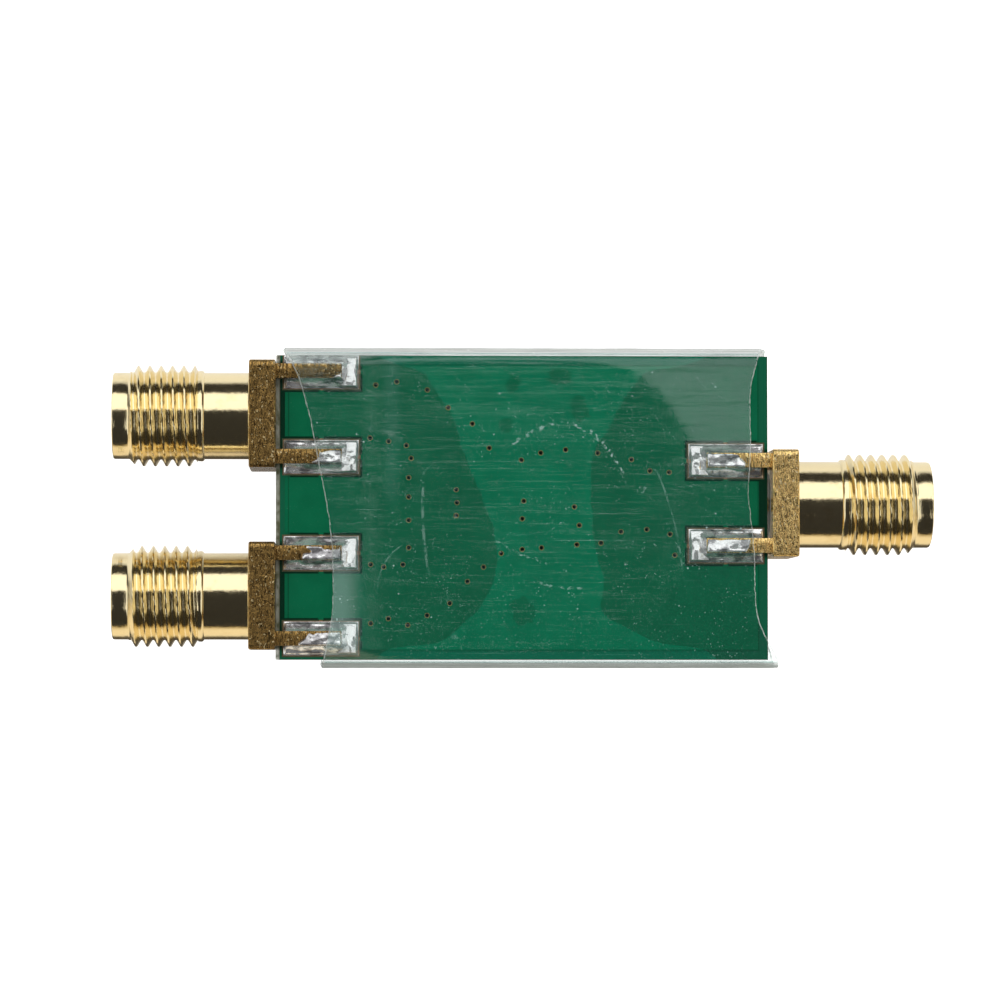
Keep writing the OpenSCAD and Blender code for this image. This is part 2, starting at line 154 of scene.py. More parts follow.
class Shape:
    """Collects vertices and faces, then becomes one piece that rides on the root body."""

    def __init__(self):
        self.verts, self.faces, self.slots, self.count = [], [], [], 0

    def add(self, verts, faces, slot=0):
        verts = np.asarray(verts, float).reshape(-1, 3)
        self.faces += [[i + self.count for i in face] for face in faces]
        self.slots += [slot] * len(faces)
        self.verts.append(verts)
        self.count += len(verts)

    def box(self, low, high, bevel, slot, place):
        bm = bmesh.new()
        bmesh.ops.create_cube(bm, size=1.0)
        low, high = np.array(low, float), np.array(high, float)
        for v in bm.verts:
            v.co = Vector((np.array(v.co) + 0.5) * (high - low) + low)
        bmesh.ops.bevel(bm, geom=bm.edges[:], offset=bevel, segments=2, profile=0.6, affect="EDGES")
        verts = np.array([v.co for v in bm.verts])
        faces = [[v.index for v in f.verts] for f in bm.faces]
        bm.free()
        self.add(place(verts), faces, slot)

    def make(self, name, materials, slot_name, sharp, stands_for):
        mesh = bpy.data.meshes.new(name)
        mesh.from_pydata((np.concatenate(self.verts) * MM).tolist(), [], self.faces)
        for material in materials:
            mesh.materials.append(material)
        mesh.polygons.foreach_set("material_index", self.slots)
        mesh.polygons.foreach_set("use_smooth", [True] * len(self.faces))
        mesh.set_sharp_from_angle(angle=math.radians(sharp))
        mesh.update()
        obj = bpy.data.objects.new(name, mesh)
        bpy.context.scene.collection.objects.link(obj)
        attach(obj, "root")
        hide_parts(*stands_for)


def turned(profile, n):
    """Rings of n points about the local X axis, one per [distance along, radius or radius per angle]."""
    angle = np.arange(n) * 2 * math.pi / n
    rings = [np.stack([np.full(n, u), np.cos(angle) * r, np.sin(angle) * r], -1) for u, r in profile]
    return np.concatenate(rings)


def lathe(shape, profile, n, place, closed=True):
    """Adds a turned profile, which is a closed loop, or a line from axis to axis if closed is False."""
    shape.add(place(turned(profile, n)), grid_faces(len(profile), n, close_rows=closed, close_cols=True))


def wobble(x, y, z=0.0):
    return noise.noise(Vector((x, y, z)))


def soft(x):
    x = np.clip(x, 0.0, 1.0)
    return x * x * (3 - 2 * x)


# ---------------------------------------------------------------- sizes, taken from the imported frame
z_rear = cad("rear_copper")[1][2]
z_rear_mask = cad("rear_solder_mask")[1][2]
z_front = cad("front_copper")[0][2]
z_front_mask = cad("front_solder_mask")[0][2]
board_low, board_high = cad("board_core")
PORTS = {}
for port in ("source", "detector", "test"):
    low, high = cad(port + "_port_shell")
    side = 1 if high[0] > -low[0] else -1
    tip = high[0] if side > 0 else -low[0]
    PORTS[port] = {"side": side, "y": (low[1] + high[1]) / 2, "z": (low[2] + high[2]) / 2, "tip": tip,
                   "half": (high[2] - low[2]) / 2}

# jack: length, flange thickness, mouth depth and radii; contact; legs; board pads; thread
JACK_L, FLANGE_T, MOUTH, MOUTH_R, BORE_R = 10.15, 1.65, 1.93, 2.30, 2.05
PIN_R, TAIL_R, SOCKET_R = 0.635, 0.45, 0.47
LEG_L, LEG_W, LEG_T, LEG_OFFSET, LEG_GAP = 4.1, 0.91, 1.0, 2.645, 0.02
PAD_IN, PAD_OUT, PAD_W = 10.22, 14.92, 2.14
THREAD_R, BARREL_R, PITCH = 3.15, 2.7, 0.7056
HALF_LEG = LEG_W / 2
LEGS = [(p["side"], p["y"] + s * LEG_OFFSET) for p in PORTS.values() for s in (1, -1)]


def port_place(p):
    """Local jack coordinates (out of the port, sideways, up) to the row frame, as a turn, never a mirror."""
    base = p["tip"] - JACK_L

    def place(v):
        v = np.array(v, float)
        out = np.empty_like(v)
        out[:, 0] = p["side"] * (base + v[:, 0])
        out[:, 1] = p["y"] + p["side"] * v[:, 1]
        out[:, 2] = p["z"] + v[:, 2]
        return out

    return place


# ---------------------------------------------------------------- materials
GOLD = (0.90, 0.765, 0.465)


def gold_barrel():
    s = Shader("gold_plate_turned")
    lathe_marks = s.noise(26.0, 2.0, (1.0, 0.02, 0.02))
    orange_peel = s.noise(1.9, 3.0, seed=4.0)
    tarnish = s.step(s.noise(1.1, 5.0, seed=9.0), 0.52, 0.75)
    specks = s.step(s.noise(7.5, 2.0, seed=2.0), 0.70, 0.78)
    color = s.mix(s.mul(tarnish, 0.35), GOLD, (0.74, 0.56, 0.26))
    color = s.mix(s.mul(specks, 0.5), color, (0.42, 0.29, 0.12))
    rough = s.add(s.mul(s.noise(3.0, 4.0, seed=6.0), 0.12), 0.08)
    bump = s.bump(lathe_marks, 0.004, 0.5)
    bump = s.bump(s.noise(1.0, 4.0, (6.0, 1.3, 1.3), 0.6, 8.0), 0.030, 0.5, bump)
    bump = s.bump(orange_peel, 0.012, 0.5, bump)
    return s.principled(color, rough, 1.0, bump)


def gold_flange():
    """Milled faces, painted brighter on the right-hand jack and darker on the left-hand ones as painted light
    and shade: short cutter lines, specks where the plating is rough.
    """
    s = Shader("gold_plate_milled")
    cuts = s.noise(3.4, 4.0, (4.8, 0.42, 3.0), 0.68)
    cross = s.noise(3.0, 3.0, (0.5, 4.6, 0.5), 0.6, 3.0)
    lines = s.max(s.step(cuts, 0.49, 0.61), s.mul(s.step(cross, 0.60, 0.68), 0.5))
    specks = s.step(s.noise(4.6, 3.0, (1.5, 1.0, 1.0), seed=5.0), 0.62, 0.68)
    # painted light and shade: the right-hand flange is painted bright, the left-hand flanges dark
    right = s.step(s.axis(0), -5.0, 5.0)
    color = s.mix(right, s.mix(lines, (0.43, 0.27, 0.09), (0.085, 0.045, 0.014)),
                  s.mix(lines, (1.0, 0.72, 0.29), (0.58, 0.35, 0.12)))
    color = s.mix(s.mul(specks, 0.7), color, (1.0, 0.84, 0.50))
    rough = s.add(s.mul(specks, 0.22), 0.17)
    height = s.sub(s.noise(1.7, 4.0, (2.4, 0.9, 1.0), seed=1.0), s.mul(lines, 0.22))
    return s.principled(color, rough, 1.0, s.bump(height, 0.07, 1.0))


def solder():
    """Bright tin, with patches painted dark as painted reflections of dark surroundings, except on the inner
    end of each joint.
    """
    s = Shader("tin_solder")
    wrinkle = s.noise(1.25, 2.5, (1, 1, 1), 0.5, 1.0)
    grain = s.noise(9.0, 3.0, seed=7.0)
    # painted reflection: dark patches stand in for dark surroundings mirrored in the tin, kept off each joint's
    # inner end
    painted_dark_reflection = s.step(s.noise(1.1, 4.0, seed=3.0), 0.44, 0.60)
    painted_dark_reflection = s.mul(painted_dark_reflection, s.step(s.abs(s.axis(0)), PAD_IN + 0.5, PAD_IN + 1.3, 0.1, 0.82))
    color = s.mix(painted_dark_reflection, (0.95, 0.95, 0.95), (0.17, 0.16, 0.17))
    rough = s.add(s.mul(s.step(grain, 0.4, 0.7), 0.08), 0.17)
    bump = s.bump(wrinkle, 0.13, 0.9)
    bump = s.bump(grain, 0.003, 0.5, bump)
    return s.principled(color, rough, 0.74, bump)


# spots under the film where it stands off the board, as [x, y, radius]
BLOTS = ((0.07, -6.35, 0.8), (2.3, 8.2, 0.6), (-0.7, 7.5, 0.45), (3.5, 6.1, 0.6), (-1.1, 5.0, 0.35))


def clinging(s):
    """1 where the film touches the board: between two wavy lines across the width, but for a few blots."""
    x, y = s.axis(0), s.axis(1)
    across = s.mul(s.add(y, 10.0), 0.05, True)
    warp = s.mul(s.sub(s.noise(0.9, 4.0, seed=3.0), 0.5), 0.55)

    def line(points):
        """Curve through [y, x] points, on a node whose 0 to 1 stands for y -10 to 10 and x -15 to 15."""
        node = s("FloatCurve", {"Value": across})
        curve = node.mapping.curves[0]
        curve.points[0].location = (0.0, (points[0][1] + 15) / 30)
        curve.points[1].location = (1.0, (points[-1][1] + 15) / 30)
        for py, px in points[1:-1]:
            curve.points.new((py + 10) / 20, (px + 15) / 30)
        node.mapping.update()
        return s.sub(s.mul(node, 30.0), 15.0)

    cling_left = line([(-10, -9.5), (-8.8, -8.4), (-8.4, -5.3), (-7.4, -4.0), (-6.2, -2.7), (-3.9, -1.75),
                       (-1.5, -1.9), (0.8, -2.7), (3.25, -3.65), (5.8, -4.5), (7.7, -5.8), (8.3, -6.2),
                       (9.0, -8.2), (10, -10.5)])
    cling_right = line([(-10, 12.5), (-8.8, 11.1), (-8.4, 8.4), (-7.35, 6.2), (-6.4, 4.8), (-4.9, 5.0),
                        (-2.4, 4.45), (0.5, 4.2), (3.6, 4.4), (4.6, 5.1), (6.3, 6.0), (7.6, 6.8), (8.4, 7.6),
                        (8.9, 10.1), (10, 12.5)])
    xw = s.add(x, warp)
    inside = s.mul(s.step(s.sub(xw, cling_left), -0.05, 0.05), s.step(s.sub(cling_right, xw), -0.05, 0.05))
    blots = 0.0
    for bx, by, size in BLOTS:
        away = s.vec("MULTIPLY", s.vec("SUBTRACT", s.pos, (bx, by, 0.0)), (1, 1, 0))
        away = s("VectorMath", {0: away}, operation="LENGTH").outputs["Value"]
        blots = s.max(blots, s.step(s.add(away, s.mul(warp, 3.6)), size, size - 0.06))
    return s.mul(inside, s.sub(1.0, s.mul(blots, 0.7)))


def solder_mask(name, top_z, up, over_copper, bare, shaded):
    """Green resist: brightest over copper, duller where the copper stops, darkest in moats; painted shade by
    the jacks and along the copper's edge, painted light where the film clings.
    """
    s = Shader(name)
    depth = s.mul(s.sub(s.axis(2), top_z), float(up))
    raised = s.step(depth, -0.03, -0.01)
    edge = s.abs(s.max(s.sub(s.abs(s.axis(0)), board_high[0]), s.sub(s.abs(s.axis(1)), board_high[1])))
    # painted shade: a thin dark line where the copper stops, COPPER_MARGIN in from the board's edge
    painted_step_shade = s.step(s.abs(s.sub(edge, COPPER_MARGIN)), 0.06, 0.02)
    # the dark colour goes on bare resist inside the border strip, which is the moats, and as painted shade
    # beside each jack
    longer = board_high[0] - board_high[1]
    moats_and_painted_shade = s.max(s.abs(s.axis(0)), s.add(s.abs(s.axis(1)), longer))
    moats_and_painted_shade = s.step(moats_and_painted_shade, board_high[0] - 0.66, board_high[0] - 0.72)
    # painted shade on the resist beside each jack's flange, at the board's ends
    for port in PORTS.values():
        beside = s.step(s.abs(s.sub(s.axis(1), port["y"])), 3.5, 3.2)
        outer_end = s.step(s.mul(s.axis(0), float(port["side"])), 14.2, 14.5)
        moats_and_painted_shade = s.max(moats_and_painted_shade, s.mul(beside, outer_end))
    bare = s.mix(moats_and_painted_shade, bare, shaded)
    mottle = s.noise(0.55, 4.0, seed=2.0)
    weave = s.mul(s.math("SINE", s.mul(s.axis(0), 7.4)), s.math("SINE", s.mul(s.axis(1), 7.4)))
    dots = s.step(s.noise(16.0, 1.0, seed=8.0), 0.72, 0.76)
    dark = tuple(c * 0.95 for c in over_copper)
    light = tuple(c * 1.05 for c in over_copper)
    color = s.mix(raised, bare, s.mix(s.step(mottle, 0.35, 0.65), dark, light))
    color = s.mix(s.mul(painted_step_shade, 0.45), color, shaded)
    if up > 0:
        # painted light: the resist is painted brighter and bluer where the film clings to it
        painted_cling_light = {0: clinging(s), 6: color, 7: (0.8, 1.42, 1.60, 1.0)}
        color = s("Mix", painted_cling_light, data_type="RGBA", blend_type="MULTIPLY").outputs[2]
    color = s.mix(s.mul(dots, 0.14), color, (0.25, 0.42, 0.33))
    rough = s.add(s.mul(mottle, 0.06), 0.09)
    height = s.add(s.noise(2.2, 3.0, seed=5.0), s.mul(weave, 0.12))
    return s.principled(color, rough, 0.0, s.bump(height, 0.006, 0.5), IOR=1.5)


def laminate():
    """Glass-fibre board: dark olive where bared, layered on the cut edges, white and torn at the left end, with
    that white toned down beside the jacks as painted shade.
    """
    s = Shader("glass_epoxy")
    layers = s.math("SINE", s.mul(s.axis(2), 34.0))
    fibre = s.noise(6.0, 4.0, (0.35, 0.35, 5.0), 0.65)
    facing = s.step(s.abs(s.axis(2, s("NewGeometry").outputs["Normal"])), 0.5, 0.9)
    cut = s.mix(fibre, (0.16, 0.15, 0.06), (0.36, 0.34, 0.17))
    flat = s.mix(fibre, (0.040, 0.042, 0.018), (0.105, 0.11, 0.055))
    color = s.mix(facing, cut, flat)
    torn = s.step(s.noise(3.0, 4.0, (1, 0.6, 1), seed=3.0), 0.30, 0.62)
    # painted shade: the torn white is toned down beside each jack's flange
    beside = 0.0
    for port in PORTS.values():
        beside = s.max(beside, s.step(s.abs(s.sub(s.axis(1), port["y"])), 3.45, 3.2))
    torn = s.mul(torn, s.sub(1.0, s.mul(beside, 0.75)))
    torn = s.mul(torn, s.step(s.axis(0), board_low[0] + 0.30, board_low[0] + 0.12))
    color = s.mix(torn, color, (0.80, 0.81, 0.74))
    height = s.add(s.mul(layers, 0.25), fibre)
    return s.principled(color, 0.72, 0.0, s.bump(height, 0.05, 0.8))


def copper():
    s = Shader("copper_foil")
    tone = s.noise(3.5, 4.0)
    color = s.mix(tone, (0.30, 0.16, 0.08), (0.62, 0.36, 0.20))
    return s.principled(color, 0.42, 1.0, s.bump(s.noise(14.0, 2.0), 0.006, 0.6))


def via_lining():
    s = Shader("via_plating")
    mouth = s.step(s.axis(2), float(z_rear_mask) - 0.10, float(z_rear_mask) - 0.04)
    # painted shade: the lining is painted dark down the hole; near the top it turns to the lighter plated mouth
    color = s.mix(s.noise(9.0, 3.0), (0.035, 0.022, 0.012), (0.16, 0.11, 0.055))
    color = s.mix(mouth, color, (0.50, 0.42, 0.16))
    return s.principled(color, 0.5, 0.7, s.bump(s.noise(20.0, 2.0), 0.01, 0.6))


def ptfe():
    s = Shader("fluoropolymer")
    cloud = s.noise(1.4, 3.0)
    lathe_marks = s.noise(18.0, 1.0, (1.0, 0.2, 0.2))
    color = s.mix(cloud, (0.80, 0.79, 0.76), (0.90, 0.90, 0.88))
    return s.principled(color, 0.48, 0.0, s.bump(lathe_marks, 0.01, 0.5), Subsurface_Weight=0.25,
                        Subsurface_Radius=(0.6, 0.6, 0.6), Subsurface_Scale=0.0006)


def contact_gold():
    s = Shader("gold_contact")
    color = s.mix(s.noise(4.0, 3.0), (0.80, 0.60, 0.28), (0.90, 0.74, 0.40))
    return s.principled(color, 0.17, 1.0, s.bump(s.noise(24.0, 2.0, (1, 0.1, 0.1)), 0.004, 0.6))


def ferrite():
    s = Shader("sintered_ferrite")
    grain = s.noise(11.0, 5.0, (1, 1, 1), 0.7)
    chips = s.step(s.noise(3.2, 3.0, seed=5.0), 0.62, 0.72)
    color = s.mix(grain, (0.018, 0.019, 0.021), (0.060, 0.061, 0.064))
    color = s.mix(s.mul(chips, 0.4), color, (0.12, 0.12, 0.12))
    height = s.sub(grain, s.mul(chips, 0.6))
    return s.principled(color, 0.58, 0.0, s.bump(height, 0.03, 0.8))


def braid():
    s = Shader("tinned_braid")
    fall = s.math("SINE", s.mul(s.add(s.axis(0), s.axis(2)), 15.0))
    rise = s.math("SINE", s.mul(s.sub(s.axis(0), s.axis(2)), 15.0))
    weave = s.mul(fall, rise)
    color = s.mix(s.step(weave, -0.6, 0.6), (0.34, 0.33, 0.31), (0.70, 0.69, 0.66))
    height = s.add(weave, s.noise(6.0, 3.0))
    return s.principled(color, 0.34, 1.0, s.bump(height, 0.035, 0.9))


def chip_body():
    s = Shader("chip_ceramic")
    facing = s("NewGeometry").outputs["Normal"]
    glaze = s.step(s.mul(s.axis(2, facing), -1.0), 0.75, 0.9)
    grain = s.noise(16.0, 3.0)
    alumina = s.mix(grain, (0.62, 0.61, 0.58), (0.76, 0.75, 0.72))
    black = s.mix(grain, (0.010, 0.010, 0.012), (0.028, 0.028, 0.032))
    rough = s.step(glaze, 0.0, 1.0, 0.62, 0.22)
    return s.principled(s.mix(glaze, alumina, black), rough, 0.0, s.bump(grain, 0.01, 0.6))


def tin_plate():
    s = Shader("tin_plate")
    grain = s.noise(12.0, 4.0)
    color = s.mix(grain, (0.52, 0.52, 0.51), (0.74, 0.74, 0.72))
    return s.principled(color, 0.36, 1.0, s.bump(grain, 0.012, 0.7))


# bare border round the copper; resist over copper, where the copper stops, and a dark green for the moats,
# which also serves as painted shade beside the jacks and along the copper's edge
COPPER_MARGIN = 0.6
GREENS = ((0.0014, 0.116, 0.050), (0.0050, 0.098, 0.048), (0.0014, 0.028, 0.013))
M = {"barrel": gold_barrel(), "flange": gold_flange(), "solder": solder(), "laminate": laminate(),
     "copper": copper(), "via": via_lining(), "ptfe": ptfe(), "contact": contact_gold(), "ferrite": ferrite(),
     "braid": braid(), "chip": chip_body(), "tin": tin_plate(),
     "rear_mask": solder_mask("rear_resist", float(z_rear_mask), 1, *GREENS),
     "front_mask": solder_mask("front_resist", float(z_front_mask), -1, *GREENS)}


def dress(node, material, bevel=None):
    obj = nodes[node]
    obj.data.materials.clear()
    obj.data.materials.append(material)
    if bevel:
        mod = obj.modifiers.new("edge", "BEVEL")
        mod.width = bevel * MM
        mod.segments = 2
        mod.limit_method = "ANGLE"


dress("board_core", M["laminate"])
dress("rear_copper", M["copper"])
dress("front_copper", M["copper"])
dress("rear_solder_mask", M["rear_mask"])
dress("front_solder_mask", M["front_mask"])
dress("via_barrels", M["via"])
for name in nodes:
    if name.endswith("resistor_body"):
        dress(name, M["chip"], 0.03)
    if name.endswith("resistor_caps"):
        dress(name, M["tin"], 0.012)


# ---------------------------------------------------------------- jacks
def square_radius(angle, half, cut):
    c, s = np.abs(np.cos(angle)), np.abs(np.sin(angle))
    return np.minimum(half / np.maximum(c, s), (2 * half - cut) / (c + s))


# shift of each thread along its axis
THREAD_PHASE = {"source": 0.47, "detector": 0.21, "test": 0.12}


def thread_radius(u, angle, start, end):
    """Right-hand V thread: flat crests, rounded roots, a short run-out at each end."""
    turn = u / PITCH - angle / (2 * math.pi)
    away = np.abs(turn - np.round(turn)) * PITCH
    root = 2.73
    r = THREAD_R - np.maximum(0.0, away - 0.05) * 1.732
    r = root + 0.5 * ((r - root) + np.sqrt((r - root) ** 2 + 0.0016))
    r = np.minimum(r, THREAD_R)
    cap = np.minimum(2.80 + (u - start) * 2.2, 2.74 + (end - u) * 1.1)
    return np.minimum(r, np.maximum(cap, root))


def jack(port):
    p = PORTS[port]
    place = port_place(p)
    n = 192
    angle = np.arange(n) * 2 * math.pi / n
    half = p["half"]
    edge = 0.07
    square, inset = square_radius(angle, half, 0.14), square_radius(angle, half - edge, 0.14)
    start, end = 4.86, 9.1
    twist = angle + 2 * math.pi * THREAD_PHASE[port] / PITCH
    profile = [(0.0, BORE_R), (0.0, inset), (edge, square), (FLANGE_T - edge, square), (FLANGE_T, inset),
               (FLANGE_T, 2.76), (FLANGE_T + 0.05, BARREL_R)]
    profile += [(u, BARREL_R) for u in (2.4, 3.2, 4.0, 4.44)]
    profile += [(4.46, 2.735), (4.52, 2.81), (4.62, 2.84), (4.80, 2.825)]
    profile += [(u, thread_radius(u, twist, start, end)) for u in np.linspace(start, end, 128)]
    profile += [(9.14, 2.72), (9.18, BARREL_R), (9.6, BARREL_R), (JACK_L - 0.14, BARREL_R),
                (JACK_L - 0.05, 2.68), (JACK_L - 0.01, 2.63), (JACK_L, 2.58), (JACK_L, 2.46),
                (JACK_L - 0.02, 2.43), (JACK_L - 0.15, MOUTH_R), (JACK_L - MOUTH, MOUTH_R),
                (JACK_L - MOUTH, BORE_R)]
    body = Shape()
    faces = grid_faces(len(profile), n, True, True)
    # the first five bands are the flange's, the rest the barrel's
    flange_faces = 5 * n
    body.add(place(turned(profile, n)), faces[:flange_faces], 1)
    body.faces += faces[flange_faces:]
    body.slots += [0] * (len(faces) - flange_faces)
    for s in (-1, 1):
        y0 = s * LEG_OFFSET
        for low_z in (z_rear + LEG_GAP, z_front - LEG_GAP - LEG_T):
            low = (-LEG_L, y0 - HALF_LEG, low_z - p["z"])
            body.box(low, (0.4, y0 + HALF_LEG, low[2] + LEG_T), 0.05, 1, place)
    body.make(port + "_jack_shell", [M["barrel"], M["flange"]], "gold_plate", 38.0, [port + "_port_shell"])

    plug = Shape()
    face = JACK_L - MOUTH
    profile = [(0.0, TAIL_R), (0.0, 2.04), (face - 0.03, 2.04), (face, 2.01), (face, 0.66), (face - 0.03, 0.64),
               (0.4, 0.64), (0.4, TAIL_R)]
    lathe(plug, profile, 96, place)
    plug.make(port + "_jack_insulator", [M["ptfe"]], "ptfe", 40.0, [port + "_port_insulator"])

    pin = Shape()
    slots, deep = face - 2.0, face - 2.9
    profile = [(-1.9, 0.0), (-1.9, 0.38), (-1.84, 0.44), (-1.75, TAIL_R), (0.4, TAIL_R), (0.4, PIN_R),
               (slots, PIN_R), (slots, SOCKET_R), (deep, SOCKET_R), (deep - 0.2, 0.0)]
    lathe(pin, profile, 64, place, closed=False)
    gap = 0.06
    for quarter in range(4):
        arc = np.radians(np.linspace(90 * quarter, 90 * (quarter + 1), 15))
        rows = []
        for u, r in ((slots, SOCKET_R), (slots, PIN_R), (face - 0.08, 0.63), (face, 0.59), (face, 0.51),
                     (face - 0.05, SOCKET_R)):
            trim = math.asin(gap / r)
            a = np.clip(arc, arc[0] + trim, arc[-1] - trim)
            rows.append(np.stack([np.full(15, u), np.cos(a) * r, np.sin(a) * r], -1))
        faces = grid_faces(6, 15, close_rows=True)
        faces.append([i * 15 for i in range(6)])
        faces.append([i * 15 + 14 for i in range(5, -1, -1)])
        pin.add(place(np.concatenate(rows)), faces)
    pin.make(port + "_jack_contact", [M["contact"]], "contact_gold", 40.0, [port + "_port_contact"])


for port in PORTS:
    jack(port)


# ---------------------------------------------------------------- solder joints
def slab(shape, x, y, top, base, up):
    """Closed block between a height field and the pad: x, y are 1-D, top is heights above base along up."""
    nx, ny = len(x), len(y)
    gx, gy = np.meshgrid(x, y, indexing="ij")
    high = np.stack([gx, gy, base + up * top], -1).reshape(-1, 3)
    low = np.stack([gx, gy, np.full_like(gx, base)], -1).reshape(-1, 3)
    n = nx * ny
    faces = grid_faces(nx, ny) + [[i + n for i in f[::-1]] for f in grid_faces(nx, ny)]
    ring = ([i * ny for i in range(nx)] + [(nx - 1) * ny + j for j in range(1, ny)]
            + [i * ny + ny - 1 for i in range(nx - 2, -1, -1)] + [j for j in range(ny - 2, 0, -1)])
    faces += [[a, a + n, b + n, b] for a, b in zip(ring, ring[1:] + ring[:1])]
    if (up < 0) != (x[-1] < x[0]):
        faces = [f[::-1] for f in faces]
    shape.add(np.concatenate([high, low]), faces)


def leg_joint(shape, index, side, leg_y, base, up, bare):
    """Solder round one leg: a meniscus up both sides, a pool at the inner end and a coat over the leg.
    bare is how much of the leg, from the flange inwards, carries no solder."""
    seed = 11.3 * index + 3.0
    u = np.linspace(PAD_IN + 0.04, PAD_OUT - 0.03, 118)
    v = np.linspace(-PAD_W / 2 + 0.03, PAD_W / 2 - 0.03, 66)
    limit = board_high[1] - 0.02
    v = v[np.abs(leg_y + v) < limit]
    gu, gv = np.meshgrid(u, v, indexing="ij")
    lumps = np.vectorize(lambda a, b: wobble(a * 1.1 + seed, b * 1.3, seed))(gu, gv)
    fine = np.vectorize(lambda a, b: wobble(a * 3.1, b * 3.4 + seed, 2.0))(gu, gv)
    leg_in = PORTS["test"]["tip"] - JACK_L - LEG_L
    beside = np.maximum(np.abs(gv) - HALF_LEG, 0.0)
    ahead = np.maximum(leg_in - gu, 0.0)
    away = np.hypot(beside, ahead)
    rim = np.minimum.reduce([gu - u[0], u[-1] - gu, gv - v[0], v[-1] - gv])
    edge = soft(rim / 0.16)
    pool = 0.07 + 0.58 * np.exp(-((gu - PAD_IN - 0.55) / 0.62) ** 2) * np.exp(-((gv + 0.58) / 1.05) ** 2)
    climb = (0.80 + 0.10 * lumps) * np.exp(-away / (0.30 + 0.10 * lumps))
    taper = 1.0 - 0.35 * soft((gu - 13.2) / 1.5)
    thick = np.maximum(pool, climb * taper)
    height = edge * (thick + (0.04 + 0.22 * thick) * lumps + 0.012 * fine) + 0.03
    coat = (LEG_T + 0.09 + 0.09 * lumps + 0.02 * fine - 0.055 * gv / HALF_LEG
            - 0.10 * soft((np.abs(gv) - 0.32) / 0.16))
    reach = PAD_OUT + 0.48 - bare * LEG_L + 0.55 * lumps + 0.35 * np.sign(side) * gv
    fade = soft((reach - gu) / 0.35)
    over = soft((HALF_LEG + 0.04 - np.abs(gv)) / 0.10) * soft((gu - leg_in + 0.05) / 0.16)
    covered = np.where(fade > 0.01, coat * fade + (LEG_T - 0.2) * (1 - fade), LEG_T - 0.2)
    height = height * (1 - over) + np.maximum(covered, height * (1 - over)) * over
    slab(shape, side * u, leg_y + v, height, base, up)


# share of each rear leg that carries no solder, in the order of LEGS
BARE = (0.92, 0.50, 0.42, 0.36, 0.40, 0.30)
rear, front = Shape(), Shape()
for i, ((side, leg_y), bare) in enumerate(zip(LEGS, BARE)):
    leg_joint(rear, i, side, leg_y, z_rear, 1, bare)
    leg_joint(front, i + 7, side, leg_y, z_front, -1, 0.45)
rear.make("rear_leg_solder", [M["solder"]], "solder", 60.0, ["rear_ground_solder"])
front.make("front_leg_solder", [M["solder"]], "solder", 60.0, ["front_ground_solder"])


def mound(shape, x0, x1, y0, y1, body, peak, base, seed):
    """Solder on a front pad around a conductor: body is its half width, peak the solder's height beside it."""
    u = np.linspace(x0, x1, 44)
    v = np.linspace(y0, y1, 36)
    gu, gv = np.meshgrid(u, v, indexing="ij")
    middle = (y0 + y1) / 2
    lumps = np.vectorize(lambda a, b: wobble(a * 1.7 + seed, b * 1.7, seed))(gu, gv)
    rim = np.minimum.reduce([gu - x0, x1 - gu, gv - y0, y1 - gv])
    climb = peak * np.exp(-np.maximum(np.abs(gv - middle) - body, 0.0) / 0.16)
    height = soft(rim / 0.22) * (climb + 0.04 * lumps) + 0.02
    slab(shape, u, v, np.maximum(height, 0.02), base, -1)


pins = Shape()
for i, p in enumerate(PORTS.values()):
    ends = sorted((p["side"] * 12.95, p["side"] * 14.87))
    mound(pins, *ends, p["y"] - 0.57, p["y"] + 0.57, 0.30, 0.42, z_front, 3.0 + i)
pins.make("pin_solder", [M["solder"]], "solder", 60.0, ["contact_solder"])

chips = Shape()
for i, name in enumerate(sorted(n for n in nodes if n.endswith("resistor_caps"))):
    low, high = cad(name)
    along_y = high[1] - low[1] > high[0] - low[0]
    for s in (-1, 1):
        low_end = (low[1] - 0.32, low[1] + 0.06) if s < 0 else (high[1] - 0.06, high[1] + 0.32)
        wide = (low[0] + 0.06, high[0] - 0.06)
        if not along_y:
            low_end = (low[0] - 0.32, low[0] + 0.06) if s < 0 else (high[0] - 0.06, high[0] + 0.32)
            wide = (low[1] + 0.06, high[1] - 0.06)
        u = np.linspace(*low_end, 16)
        v = np.linspace(*wide, 20)
        gu, gv = np.meshgrid(u, v, indexing="ij")
        near = soft((gu - u[0]) / (u[-1] - u[0]) if s < 0 else (u[-1] - gu) / (u[-1] - u[0]))
        rim = np.minimum(gv - v[0], v[-1] - gv)
        top = 0.02 + soft(rim / 0.2 + 0.25) * 0.36 * near ** 1.6
        if along_y:
            slab(chips, v, u, top.T, z_front, -1)
        else:
            slab(chips, u, v, top, z_front, -1)
chips.make("chip_solder", [M["solder"]], "solder", 60.0, ["resistor_solder"])


# ---------------------------------------------------------------- balun cable and ferrite beads
bead_low, bead_high = cad("ferrite_bead_1")
BEAD_Y, BEAD_Z = (bead_low[1] + bead_high[1]) / 2, (bead_low[2] + bead_high[2]) / 2
BEAD_R = (bead_high[2] - bead_low[2]) / 2
shield_high = cad("balun_cable_shield")[1]
CABLE_R, INNER_R, CORE_R = 0.6, 0.42, 0.15
RAIL_Y = shield_high[1] - CABLE_R * 1.06
TURN_R = (RAIL_Y - BEAD_Y) / 2
TURN_X = shield_high[0] - CABLE_R - TURN_R
LIFT = z_front - 0.03 - CABLE_R - BEAD_Z
LIFT_L = 1.9
START_X, END_X = 6.42, -4.4


